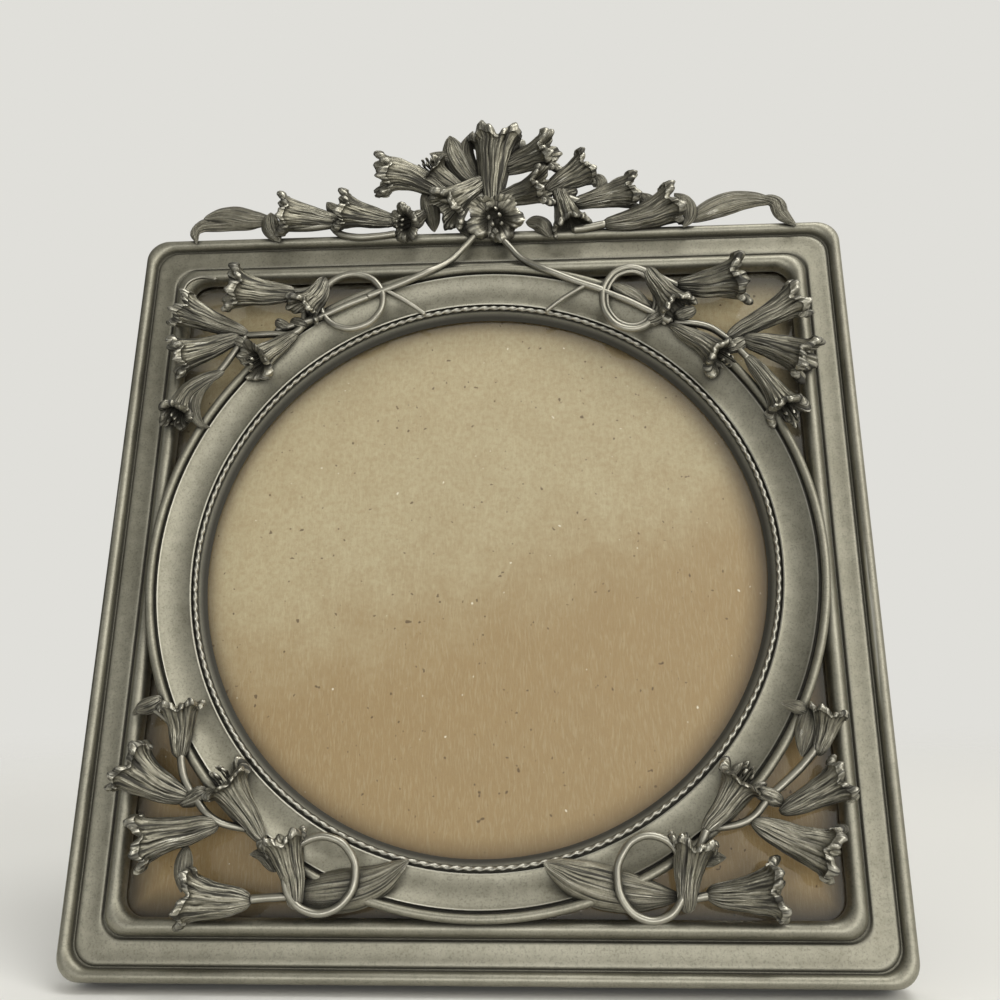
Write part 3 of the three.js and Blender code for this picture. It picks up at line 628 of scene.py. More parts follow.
# %% A block with softened edges
def soften(piece, edge, steps):
    with editing(piece, "EDGE"):
        bpy.ops.mesh.select_all(action="SELECT")
        bpy.ops.mesh.bevel(offset=edge * MM, segments=steps, affect="EDGES")


def block(name, low, high, edge, steps=3):
    low = Vector(low)
    high = Vector(high)
    clear_selection()
    bpy.ops.mesh.primitive_cube_add(size=MM, location=(low + high) / 2 * MM, scale=high - low)
    piece = added(name)
    bpy.ops.object.transform_apply(location=True, rotation=False, scale=True)
    if edge:
        soften(piece, edge, steps)
    return piece


def cut(piece, cutter):
    carve = piece.modifiers.new("carve", "BOOLEAN")
    carve.operation = "DIFFERENCE"
    carve.solver = "EXACT"
    carve.object = cutter
    apply_modifiers(piece)
    discard(cutter)


# %% [markdown]
# ## The glass
# The pane has ground edges and lies under the moulding's lip. Clear glass over a card is mostly a
# faint reflection, so its shader mixes a see-through part with a glossy one by the Fresnel effect. A
# see-through part doesn't bend the light, so only the side where the light enters may reflect.

# %% The pane
REBATE_HALF_WIDTH = 67.4
REBATE_HALF_HEIGHT = 68.25
SEAT = 0.3
PANE_X = REBATE_HALF_WIDTH - SEAT
PANE_Y = REBATE_HALF_HEIGHT - SEAT
GLASS_BACK = 4.2
GLASS_FRONT = 6.0


def clear_glass():
    finish = Finish("clear_glass")
    clear = finish.node("ShaderNodeBsdfTransparent", {}, {"Color": (0.985, 0.995, 0.99, 1)})
    gloss = finish.node("ShaderNodeBsdfGlossy", {}, {"Roughness": 0.05, "Color": (1, 1, 1, 1)})
    haze = finish.noise(finish.place(), 40 * MM, detail=2)
    shine = finish.node("ShaderNodeFresnel", {}, {"IOR": 1.5})
    leaving = finish.node("ShaderNodeNewGeometry", output="Backfacing")
    amount = ((shine * 1.5 + haze * 0.03) * (1 - leaving)).clamped()
    mixed = finish.node("ShaderNodeMixShader", {}, {0: amount, 1: clear, 2: gloss})
    finish.plug(finish.out.inputs["Surface"], mixed)
    return finish.material


glass = block("glass_sheet", (-PANE_X, -PANE_Y, GLASS_BACK), (PANE_X, PANE_Y, GLASS_FRONT), 0.18, 2)
finish_piece(glass, "frame", clear_glass(), ["glass_pane"], smooth=0)

# %% [markdown]
# ## The card behind the glass
# A new frame comes with a plain kraft card. Kraft paper has soft fibres that lie mostly one way, a
# cloudy pulp, and a few dark flecks of bark. Its colour is painted lighter towards the upper left and
# darker towards the lower right, a painted reflection in the glass and painted shade. Next to the
# moulding it has painted shade, and a painted shadow of the ring lies round the edge of the bore,
# widest on the lower right.

# %% Kraft card
def kraft():
    finish = Finish("kraft_paper")
    where = finish.place()
    cloud = finish.noise(where, 9 * MM, detail=5, roughness=0.7)
    pulp = finish.noise(where, 0.9 * MM, detail=4, roughness=0.75)
    sheet = on_bench(finish, where)
    fibres = None
    for turn in (-0.07, 0.1):
        spun = finish.stretched(sheet, (0, 0, turn), (1, 8, 1))
        thread = finish.noise(spun, 0.36 * MM, detail=3, distortion=0.4).between(0.5, 0.72)
        fibres = thread if fibres is None else fibres.at_least(thread)
    # painted reflection and painted shade: the card is lighter towards the upper left, as the glass would
    # mirror a bright room, and darker towards the lower right
    slant = finish.along(sheet, (0.3, -0.95, 0))
    painted_reflection_slope = (slant + (cloud - 0.5) * 0.03).between(-14 * MM, 20 * MM)
    # painted shade: a band next to the moulding's inner edge, where its lip shades the card
    sideways = finish.along(sheet, (1, 0, 0)).absolute()
    upwards = finish.along(sheet, (0, 1, 0)).absolute()
    tarnish_and_shade = sideways.at_least(upwards).between(58 * MM, 65 * MM)
    # painted shadow of the ring round the edge of the bore, shifted so that it lies widest on the lower
    # right
    inward = {0: sheet, 1: (1.0 * MM, -0.8 * MM, 0)}
    shifted = finish.node("ShaderNodeVectorMath", {"operation": "ADD"}, inward)
    radius = finish.length(shifted)
    painted_ring_shadow = radius.between(51 * MM, 56.5 * MM) * (1 - radius.between(57.5 * MM, 60 * MM))
    flecks = finish.noise(where, 1.2 * MM, detail=1).between(0.73, 0.77)
    elsewhere = finish.stretched(where, (0.5, 0.2, 0.4), (1, 1, 1))
    specks = finish.noise(elsewhere, 0.9 * MM, detail=0).between(0.87, 0.89)
    # painted reflection towards the upper left, painted shade towards the lower right
    base = finish.mix(painted_reflection_slope, colour(180, 165, 132), colour(155, 129, 89))
    base = finish.mix(cloud.between(0.25, 0.75) * 0.25, base, colour(150, 126, 88))
    base = finish.mix(pulp.between(0.35, 0.7) * 0.45, base, colour(148, 122, 84))
    base = finish.mix(fibres * 0.22, base, colour(198, 184, 152))
    base = finish.mix(flecks * 0.8, base, colour(84, 60, 34))
    base = finish.mix(specks * 0.7, base, colour(240, 232, 214))
    # painted shade next to the moulding
    base = finish.mix(tarnish_and_shade * 0.85, base, colour(52, 46, 37))
    # painted shadow of the ring
    base = finish.mix(painted_ring_shadow * 0.75, base, colour(98, 76, 44))
    finish.set(Base_Color=base, Roughness=0.82 + pulp * 0.1)
    finish.set(Normal=finish.bump(pulp + fibres * 0.5, 0.05 * MM, 0.6))
    return finish.material


CARD_BACK = 2.9
CARD_FRONT = 3.9
card = block("kraft_card_sheet", (-PANE_X, -PANE_Y, CARD_BACK), (PANE_X, PANE_Y, CARD_FRONT), 0.15, 1)
finish_piece(card, "frame", kraft(), ["picture_card"], smooth=0)

# %% [markdown]
# ## Fibreboard
# The back and the leg have a core of brown hardboard. It hardly shows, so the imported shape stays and
# only its finish is made: pressed wood fibre, matt and mottled.

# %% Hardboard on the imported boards
def hardboard():
    finish = Finish("hardboard")
    where = finish.place()
    pulp = finish.noise(where, 1.2 * MM, detail=6, roughness=0.75)
    base = finish.mix(pulp.between(0.3, 0.7), colour(112, 84, 52), colour(150, 120, 80))
    finish.set(Base_Color=base, Roughness=0.75 + pulp * 0.2, Normal=finish.bump(pulp, 0.06 * MM, 0.6))
    return finish.material


brown_board = hardboard()
for node in ("back_board", "easel_leg"):
    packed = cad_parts[node]
    packed.data.materials.clear()
    packed.data.materials.append(brown_board)

# %% [markdown]
# ## The velvet back
# Navy velvet is glued over the board's back and round its edges. Velvet has a short pile that
# catches light at grazing angles and lies in brushed patches. The cover is a block whose front is
# hollowed for the board, with rounded edges where the cloth turns over, and with a shallow dip where
# the hinge leaf presses it down.

# %% Velvet finish
def velvet():
    finish = Finish("navy_velvet")
    where = finish.place()
    laid = finish.stretched(where, (0.3, 0.2, 0.5), (1, 2.2, 1))
    brushed = finish.noise(laid, 13 * MM, roughness=0.6, distortion=0.8)
    pile = finish.noise(where, 0.22 * MM, detail=2)
    lint = finish.noise(where, 1.1 * MM, detail=2).between(0.72, 0.76)
    base = finish.mix(brushed.between(0.35, 0.65), colour(19, 25, 52), colour(31, 39, 74))
    base = finish.mix(pile.between(0.3, 0.8) * 0.5, base, colour(46, 55, 96))
    base = finish.mix(lint * 0.3, base, colour(120, 122, 130))
    finish.set(Base_Color=base, Roughness=0.9, Normal=finish.bump(pile + brushed * 0.6, 0.12 * MM, 0.7))
    finish.set(Sheen_Weight=0.7, Sheen_Roughness=0.35, Sheen_Tint=colour(96, 110, 168))
    finish.set(Specular_IOR_Level=0.2)
    return finish.material


navy_velvet = velvet()

# %% The cover of the board
BOARD_FRONT = 2.6
CLOTH = 0.5
LEAF_DIP = 0.1
PRESSED_HALF = 14.0
PRESSED_LOW = 22.0
PRESSED_HIGH = 40.0


def lay_cloth(piece, cuts, level, inward, pressed):
    """Gives the flat cloth at a level its uneven lie, and a dip where a hinge leaf presses it."""
    with editing(piece, "FACE"):
        pick(piece, lambda place: abs(place.z - level) < 0.01)
        bpy.ops.mesh.subdivide(number_cuts=cuts)
    for vertex in piece.data.vertices:
        place = vertex.co / MM
        if abs(place.z - level) < 0.01:
            wave = noise.noise(place / 11) + 0.4 * noise.noise(place / 2.5)
            vertex.co.z += inward * (LEAF_DIP if pressed(place) else 0.06 + 0.06 * wave) * MM


back_cover = block("velvet_back", (-PANE_X, -PANE_Y, 0), (PANE_X, PANE_Y, BOARD_FRONT), 0.45, 4)
with editing(back_cover, "FACE"):
    pick(back_cover, lambda place: place.z > BOARD_FRONT - 0.01)
    bpy.ops.mesh.inset(thickness=0.1 * MM)
    hollow_out = {"value": (0, 0, (CLOTH - BOARD_FRONT) * MM)}
    bpy.ops.mesh.extrude_region_move(TRANSFORM_OT_translate=hollow_out)


def under_upper_leaf(place):
    return abs(place.x) < PRESSED_HALF and PRESSED_LOW < place.y < PRESSED_HIGH


lay_cloth(back_cover, 60, 0, 1, under_upper_leaf)
finish_piece(back_cover, "frame", navy_velvet, ["back_velvet"], smooth=60)

# %% [markdown]
# ## Brassed steel
# The small fittings behind are steel with a thin brass wash: warm, fairly smooth, a little uneven,
# and tarnished where the parts meet.

# %% Brass finish
def brassed_steel():
    finish = Finish("brassed_steel")
    where = finish.place()
    smear = finish.noise(where, 4 * MM, detail=4)
    speck = finish.noise(where, 0.35 * MM, detail=3)
    tarnish_and_shade = (1 - finish.open_sky(0.9 * MM).between(0.4, 0.95)) * 0.8
    base = finish.mix(smear.between(0.3, 0.7), colour(196, 168, 104), colour(176, 148, 88))
    base = finish.mix((tarnish_and_shade + speck.between(0.68, 0.8) * 0.3).clamped(), base, colour(84, 66, 38))
    finish.set(Base_Color=base, Metallic=1 - tarnish_and_shade * 0.3, Roughness=0.26 + smear * 0.14 + tarnish_and_shade * 0.2)
    finish.set(Normal=finish.bump(speck, 0.012 * MM, 0.6))
    return finish.material


brass = brassed_steel()


def fitting(piece, body, node, place=standing, smooth=40):
    finish_piece(piece, body, brass, [node], place, smooth)


# %% [markdown]
# ## Turn buttons and their screws
# Four turn buttons hold the back in. Each is a domed tab that turns on its own slotted screw. A tab
# starts as a turned washer; the outer half of its rim is then moved sideways, which draws the washer
# out into a tab with parallel sides.

# %% One tab and one screw, then four of each
BUTTON_FRONT = -SEAT
BUTTON_SHEET = 0.8
BUTTON_BACK = BUTTON_FRONT - BUTTON_SHEET
BUTTON_RADIUS = 3.4
BUTTON_REACH = 8.0
SCREW_HOLE = 1.22
SCREW_X = 71.2
SCREW_Y = 38.0
HEAD_FRONT = BUTTON_BACK - SEAT
HEAD_HEIGHT = 1.1
HEAD_BACK = HEAD_FRONT - HEAD_HEIGHT

tab_profile = [
    (SCREW_HOLE, BUTTON_FRONT),
    (BUTTON_RADIUS - 0.12, BUTTON_FRONT),
    (BUTTON_RADIUS, BUTTON_FRONT - 0.12),
    (BUTTON_RADIUS, BUTTON_BACK + 0.35),
    (BUTTON_RADIUS - 0.1, BUTTON_BACK + 0.15),
    (BUTTON_RADIUS - 0.35, BUTTON_BACK + 0.02),
    (BUTTON_RADIUS - 0.7, BUTTON_BACK),
    (BUTTON_RADIUS - 0.95, BUTTON_BACK + 0.1),
    (SCREW_HOLE + 0.15, BUTTON_BACK + 0.1),
    (SCREW_HOLE, BUTTON_BACK + 0.22),
]
tab = turned("tab_pattern", tab_profile, 46, ring=True)
with editing(tab):
    pick(tab, lambda place: place.x > 0 and place.xy.length > BUTTON_RADIUS - 1.1)
    bpy.ops.transform.translate(value=(BUTTON_REACH * MM, 0, 0))

screw_profile = [
    (0.5, 4.0), (1.05, 3.4), (1.05, HEAD_FRONT), (1.95, HEAD_FRONT), (2.1, HEAD_FRONT - 0.15),
    (2.1, HEAD_FRONT - 0.35), (1.85, HEAD_FRONT - 0.75), (1.3, HEAD_FRONT - 1.0), (0.6, HEAD_BACK),
]
screw = turned("screw_pattern", screw_profile, 32)
slot_cutter = block("slot_cutter", (-3, -0.28, HEAD_BACK - 1), (3, 0.28, HEAD_BACK + 0.55), 0)
cut(screw, slot_cutter)

random.seed(7)
for row in ("upper", "lower"):
    for side in ("left", "right"):
        screw_x = SCREW_X if side == "right" else -SCREW_X
        screw_y = SCREW_Y if row == "upper" else -SCREW_Y
        here = standing @ Matrix.Translation(Vector((screw_x, screw_y, 0)) * MM)
        facing = Matrix.Rotation(math.pi if side == "right" else 0, 4, "Z")
        turn = Matrix.Rotation(random.uniform(0, math.pi), 4, "Z")
        button = copy_of(tab, f"brass_tab_{row}_{side}")
        fitting(button, f"button_{row}_{side}", f"turn_button_{row}_{side}", here @ facing)
        bolt = copy_of(screw, f"slotted_screw_{row}_{side}")
        fitting(bolt, "frame", f"button_screw_{row}_{side}", here @ turn)
discard(tab)
discard(screw)

# %% [markdown]
# ## The hinge
# The leg hangs on a small butt hinge with a stop. The upper leaf is riveted to the back and carries
# two knuckles. The lower leaf carries the middle knuckle and a lip that comes up against the upper
# leaf and stops the leg at 38 degrees. All of it is sheet metal 0.8 mm thick.

# %% The place of the leg
HINGE_Y = 24.0
PIN_DEPTH = 1.8
PIN_RADIUS = 0.78
LEAF_HALF = 13.0
LEAF_LENGTH = 15.0
SHEET = 0.8
BARREL = 1.5
KNUCKLE = 8.0
KNUCKLE_GAP = 0.2
pin_place = Matrix.Translation((0, HINGE_Y * MM, -PIN_DEPTH * MM))
leg_standing = standing @ pin_place @ Matrix.Rotation(LEG_OPEN, 4, "X")


def bar_along_x(name, left, right, y, z, radius):
    soft = 0.15
    profile = [(radius - soft, left), (radius, left + soft), (radius, right - soft), (radius - soft, right)]
    bar = turned(name, profile, 28)
    bar.data.transform(Matrix.Translation((0, y * MM, z * MM)) @ Matrix.Rotation(math.pi / 2, 4, "Y"))
    return bar


# %% Upper leaf
leaf_back = -SEAT - SHEET
leaf_low = (-LEAF_HALF, HINGE_Y, leaf_back)
leaf_high = (LEAF_HALF, HINGE_Y + LEAF_LENGTH, -SEAT)
upper_leaf = block("upper_leaf", leaf_low, leaf_high, 0.2)
notch_half = KNUCKLE / 2 + KNUCKLE_GAP
notch_top = HINGE_Y + BARREL + KNUCKLE_GAP
cut(upper_leaf, block("notch", (-notch_half, HINGE_Y - 2, -4), (notch_half, notch_top, 2), 0))
upper_parts = [upper_leaf]
for side in (-1, 1):
    middle_x = side * (KNUCKLE + KNUCKLE_GAP)
    left = middle_x - KNUCKLE / 2
    upper_parts.append(bar_along_x("knuckle", left, left + KNUCKLE, HINGE_Y, -PIN_DEPTH, BARREL))
upper_leaf = join("brass_leaf_upper", upper_parts)
fitting(upper_leaf, "frame", "hinge_leaf_upper", smooth=35)

pin_half = 1.5 * KNUCKLE + KNUCKLE_GAP
pin = bar_along_x("brass_hinge_pin", -pin_half, pin_half, HINGE_Y, -PIN_DEPTH, PIN_RADIUS)
fitting(pin, "frame", "hinge_pin")

# %% Lower leaf, in the leg's own place: the pin is its origin and the leg hangs down
lower_leaf = block("lower_leaf", (-LEAF_HALF, -LEAF_LENGTH, -SHEET / 2), (LEAF_HALF, 0, SHEET / 2), 0.2)
for side in (-1, 1):
    corner_x = side * (KNUCKLE / 2)
    edge_x = side * (LEAF_HALF + 5)
    low_x = min(corner_x, edge_x)
    high_x = max(corner_x, edge_x)
    cut(lower_leaf, block("notch", (low_x, -BARREL - KNUCKLE_GAP, -4), (high_x, 2, 4), 0))
knuckle = bar_along_x("knuckle", -KNUCKLE / 2, KNUCKLE / 2, 0, 0, BARREL)
lip = block("lip", (-KNUCKLE / 2, 0, -SHEET / 2), (KNUCKLE / 2, BARREL + 4, SHEET / 2), 0.15)
lip.data.transform(Matrix.Rotation(-LEG_OPEN, 4, "X"))
lower_leaf = join("brass_leaf_lower", [lower_leaf, knuckle, lip])
fitting(lower_leaf, "leg", "hinge_leaf_lower", leg_standing, smooth=35)

# %% Rivets
RIVET_X = 7.0
RIVET_SETBACK = 10.0
RIVET_HEAD = 0.8
LEG_THICKNESS = 4.0


def rivet(name, head_back, tip):
    profile = [
        (0.7, head_back),
        (1.3, head_back + 0.12),
        (1.7, head_back + 0.35),
        (1.88, head_back + 0.62),
        (1.86, head_back + RIVET_HEAD),
        (0.98, head_back + RIVET_HEAD),
        (0.98, tip),
    ]
    return turned(name, profile, 28)


leg_cover_front = -SHEET / 2 - SEAT
leg_cover_back = leg_cover_front - LEG_THICKNESS
for number, x in ((1, -RIVET_X), (2, RIVET_X)):
    stud = rivet(f"brass_rivet_back_{number}", leaf_back - SEAT - RIVET_HEAD, BOARD_FRONT)
    stud.data.transform(Matrix.Translation((x * MM, (HINGE_Y + RIVET_SETBACK) * MM, 0)))
    fitting(stud, "frame", f"board_rivet_{number}")
    stud = rivet(f"brass_rivet_leg_{number}", leg_cover_back - SEAT - RIVET_HEAD, SHEET / 2)
    stud.data.transform(Matrix.Translation((x * MM, -RIVET_SETBACK * MM, 0)))
    fitting(stud, "leg", f"leg_rivet_{number}", leg_standing)

# %% [markdown]
# ## The easel leg's velvet
# The leg is a tapered board wrapped in the same velvet. A block is made to its thickness, its lower
# end is widened to the foot, and its end is cut level with the table. The cut is made with bisect,
# by the plane in which the table lies when the leg is open.

# %% The leg cover
LEG_TOP_HALF = 15.0
LEG_FOOT_HALF = 31.0
LEG_SETBACK = 3.0
CLOTH_OVER_END = 0.4
pin_height = (HALF_HEIGHT + HINGE_Y) * math.cos(LEAN) - PIN_DEPTH * math.sin(LEAN)
leg_slope = LEG_OPEN - LEAN
leg_length = pin_height / math.cos(leg_slope)
spread = (LEG_FOOT_HALF - LEG_TOP_HALF) / (leg_length - LEG_SETBACK)
SPARE_LENGTH = 20.0
over_length = leg_length + SPARE_LENGTH

leg_cover = block(
    "velvet_leg",
    (-LEG_TOP_HALF, -over_length, leg_cover_back),
    (LEG_TOP_HALF, CLOTH_OVER_END - LEG_SETBACK, leg_cover_front),
    0,
)
foot_scale = 1 + spread * (over_length - LEG_SETBACK) / LEG_TOP_HALF
with editing(leg_cover):
    pick(leg_cover, lambda place: place.y < -over_length + 1)
    bpy.ops.transform.resize(value=(foot_scale, 1, 1), center_override=(0, 0, 0))
    bpy.ops.mesh.select_all(action="SELECT")
    bpy.ops.mesh.bisect(
        plane_co=(0, -leg_length * MM, 0),
        plane_no=(0, math.cos(leg_slope), -math.sin(leg_slope)),
        use_fill=True,
        clear_inner=True,
    )
soften(leg_cover, CLOTH, 4)


def under_lower_leaf(place):
    return abs(place.x) < PRESSED_HALF and place.y > -LEAF_LENGTH - 2


lay_cloth(leg_cover, 24, leg_cover_back, 1, lambda place: False)
lay_cloth(leg_cover, 24, leg_cover_front, -1, under_lower_leaf)
finish_piece(leg_cover, "leg", navy_velvet, ["leg_velvet"], place=leg_standing, smooth=60)

# %% [markdown]
# ## The trumpet flower
# The sprays are trumpet vine: long fluted tubes that open into a ruffled mouth of five petals with
# rolled edges. One trumpet is turned from tail to lip and back down its throat. Then its wall is
# reshaped: narrow grooves run from the tail to the mouth, and five lobes spread at the lip.

# %% Petals, flutes and the flow of the grain
FOLDS = 9
FLUTES = 23
COMBS = 26
PETALS = 5
FLATNESS = 0.84
COLUMNS = 130


def mark_flow(piece):
    """Stores a vector that runs fast round a form and slowly along it, for streaks in its finish."""
    flow = piece.data.attributes.new("flow", "FLOAT_VECTOR", "POINT")
    for vertex in piece.data.vertices:
        x, y, z = vertex.co / MM
        turn = math.atan2(y, x)
        flow.data[vertex.index].vector = (math.cos(turn), math.sin(turn), 0.28 * z)


def furrow(count, turn):
    """1 along each of the furrows round a form, 0 halfway between two of them."""
    return (1 - abs(math.sin(count / 2 * turn))) ** 2


def petal_wall(piece, profile, rim, groove, lobe=0.0, cleft=0.0, tilt=0.0):
    """Cuts the flutes of a turned form one millimetre tall, spreads its petals and combs its throat.

    rim is the number of the ring of vertices at the lip; the rings past it line the throat.
    """
    mark_flow(piece)
    columns = len(piece.data.vertices) // len(profile)
    for vertex in piece.data.vertices:
        x, y, z = vertex.co / MM
        turn = math.atan2(y, x)
        height = min(1, max(0, z))
        wander = 0.25 * math.sin(2 * turn) + 0.15 * math.sin(3 * turn + 1) + 0.2 * height
        folds = furrow(FOLDS, turn + wander) + 0.5 * furrow(FLUTES, turn - wander)
        combed = furrow(COMBS, turn)
        inside = vertex.index // columns > rim
        cuts = 0.08 * combed if inside else groove * folds + 0.07 * combed * height ** 14
        phase = PETALS * turn + 0.6 + 0.6 * math.sin(turn)
        petal = math.cos(phase)
        notch = ((1 - petal) / 2) ** 7
        spread = height ** 4
        crimp = 0.016 * math.cos(3 * phase + 1) * height ** 8
        width = 1 - cuts + spread * (lobe * petal - cleft * notch) + crimp
        vertex.co.x = x * width * MM
        vertex.co.y = y * width * FLATNESS * MM
        vertex.co.z = (z + spread * tilt * (petal - 0.5 * notch) + crimp) * MM


# %% A closed trumpet, a blossom with an open face, and a ribbed calyx
closed_profile = [
    (0.12, 0.0), (0.24, 0.03), (0.33, 0.07), (0.4, 0.13), (0.45, 0.2), (0.5, 0.28), (0.545, 0.36),
    (0.59, 0.44), (0.63, 0.52), (0.68, 0.6), (0.73, 0.67), (0.785, 0.74), (0.845, 0.8), (0.9, 0.85),
    (0.99, 0.885), (1.07, 0.9), (1.12, 0.9), (1.15, 0.925), (1.13, 0.965), (1.06, 0.995), (0.96, 1.0),
    (0.85, 0.975), (0.75, 0.92), (0.65, 0.85), (0.55, 0.77), (0.44, 0.69), (0.25, 0.62),
]
CLOSED_RIM = 17
closed_trumpet = turned("closed_trumpet", closed_profile, COLUMNS)
petal_wall(closed_trumpet, closed_profile, CLOSED_RIM, groove=0.13, lobe=0.1, cleft=0.1, tilt=0.05)

open_profile = [
    (0.12, 0.0), (0.24, 0.04), (0.33, 0.1), (0.4, 0.18), (0.46, 0.28), (0.52, 0.4), (0.58, 0.52),
    (0.65, 0.62), (0.74, 0.71), (0.86, 0.78), (1.0, 0.82), (1.12, 0.83), (1.2, 0.83), (1.24, 0.86),
    (1.2, 0.91), (1.1, 0.94), (0.97, 0.95), (0.84, 0.935), (0.7, 0.9), (0.57, 0.85), (0.46, 0.79),
    (0.36, 0.72), (0.22, 0.66),
]
OPEN_RIM = 13
open_trumpet = turned("open_trumpet", open_profile, COLUMNS)
petal_wall(open_trumpet, open_profile, OPEN_RIM, groove=0.12, lobe=0.1, cleft=0.16, tilt=0.05)

calyx_profile = [
    (0.3, 0.0), (0.5, 0.04), (0.72, 0.15), (0.88, 0.32), (0.95, 0.5), (0.92, 0.68), (0.8, 0.84),
    (0.6, 0.95), (0.3, 1.0),
]
calyx = turned("calyx", calyx_profile, 72)
petal_wall(calyx, calyx_profile, len(calyx_profile), groove=0.16)

# %% Stamens in the open mouths
filaments = []
for number in range(6):
    angle = 2 * math.pi * number / 6 + 0.3
    lean_out = 0.2 + 0.08 * (number % 3)
    filament_profile = [
        (0.035, 0.7), (0.04, 1.0), (0.075, 1.03), (0.085, 1.07), (0.05, 1.11),
    ]
    filament = turned("filament", filament_profile, 8)
    tip = Matrix.Rotation(lean_out * 0.6, 4, Vector((-math.sin(angle), math.cos(angle), 0)))
    out = Vector((math.cos(angle), math.sin(angle), 0)) * lean_out * 0.5 * MM
    filament.data.transform(Matrix.Translation(out) @ tip)
    filaments.append(filament)
join(open_trumpet.name, [open_trumpet, *filaments])
print("a trumpet has", triangles(closed_trumpet), "triangles")

# %% [markdown]
# ## The leaf
# The leaves are thick straps with a midrib and a few lengthwise grooves. A leaf is turned as a
# spindle with pointed ends and then flattened. Its front is grooved, and its edges are curled down.

# %% Leaf pattern
LEAF_STEPS = 26
leaf_profile = []
for step in range(LEAF_STEPS + 1):
    along = step / LEAF_STEPS
    leaf_profile.append((0.05 + 0.95 * math.sin(math.pi * along ** 0.85) ** 0.8, along))
leaf_pattern = turned("leaf_pattern", leaf_profile, 72)
leaf_flow = leaf_pattern.data.attributes.new("flow", "FLOAT_VECTOR", "POINT")
for vertex in leaf_pattern.data.vertices:
    x, y, z = vertex.co / MM
    outline = Vector((x, y)).length
    across = x / outline
    midrib = 0.11 * math.exp(-((across / 0.12) ** 2))
    grooves = 0.05 * math.cos(15 * across + 1.5 * z) * (1 - abs(across))
    front = max(0, y / outline)
    vertex.co.y = (0.24 * y - 0.34 * outline * across ** 2 - front * outline * (midrib - grooves)) * MM
    leaf_flow.data[vertex.index].vector = (2.2 * across, 0, 0.3 * z)
print("a leaf has", triangles(leaf_pattern), "triangles")

# %% [markdown]
# ## Bending a form along its way
# Each flower, leaf and stem of a spray follows its own curve. A copy of the pattern stands upright,
# and a Curve modifier lays it along a smooth line through a few spots. The line's radius at a spot
# scales the form there. A little noise then makes each copy its own, as in a model cut by hand. The
# noise has a fixed seed, so that every run of this file carves the same flowers.

# %% Along a way, and wires
END_LENGTH = 0.6
END_REACH = 0.45
CARVER_SEED = 7
noise.seed_set(CARVER_SEED)


def way_through(spots, reaches):
    data = bpy.data.curves.new("way", "CURVE")
    data.dimensions = "3D"
    data.twist_mode = "Z_UP"
    data.resolution_u = 16
    spline = data.splines.new("BEZIER")
    spline.bezier_points.add(len(spots) - 1)
    for point, spot, reach in zip(spline.bezier_points, spots, reaches):
        point.co = Vector(spot) * MM
        point.handle_left_type = "AUTO"
        point.handle_right_type = "AUTO"
        point.radius = reach
    way = bpy.data.objects.new("way", data)
    bpy.context.collection.objects.link(way)
    return way


def roughened(piece, amount, seed):
    offset = Vector((seed * 7.3, seed * 3.1, 0))
    for vertex in piece.data.vertices:
        place = vertex.co / MM
        push = noise.noise_vector(place / 3.6 + offset) + 0.3 * noise.noise_vector(place / 1.1 + offset)
        vertex.co += push * amount * MM
    return piece


def bent(pattern, spots, reach, seed, amount=0.26):
    form = copy_of(pattern)
    lay_along(form, way_through(spots, [reach] * len(spots)))
    for item in form.data.attributes["flow"].data:
        item.vector = item.vector + Vector((0, 0, seed * 2.7))
    return roughened(form, amount, seed)


def wire(spots, radius, taper=1.0, closed=False, seed=1):
    """A round wire through the spots; an open one is rounded at its ends."""
    spots = [Vector(spot) for spot in spots]
    if not closed:
        first = spots[0] + (spots[1] - spots[0]).normalized() * radius * END_LENGTH
        last = spots[-1] + (spots[-2] - spots[-1]).normalized() * radius * END_LENGTH
        spots = [spots[0], first, *spots[1:-1], last, spots[-1]]
    count = len(spots)
    reaches = [1 + (taper - 1) * step / (count - 1) for step in range(count)]
    if not closed:
        reaches[0] = END_REACH
        reaches[-1] = END_REACH * taper
    way = way_through(spots, reaches)
    way.data.bevel_depth = radius * MM
    way.data.bevel_resolution = 3
    way.data.resolution_u = 10
    way.data.use_fill_caps = not closed
    way.data.splines[0].use_cyclic_u = closed
    only(way)
    bpy.ops.object.convert(target="MESH")
    return roughened(added("wire"), 0.07, seed)


# %% [markdown]
# ## Growing a spray
# A spray is a list of forms, each with its spots. The numbers are measured as a carver would mark
# them out: how far in from the outer corner of the moulding, across and up, with the vine lying on
# the ring's rim. A third number lifts a spot above the vine, so that a mouth turns to the viewer.

# %% Forms that make a spray
VINE_LEVEL = 12.2
VINE_RADIUS = 0.8
TENDRIL_RADIUS = 0.72
MOUTH_SHARE = 0.94
LEAF_SHARE = 1.15
CALYX_SHARE = 0.85


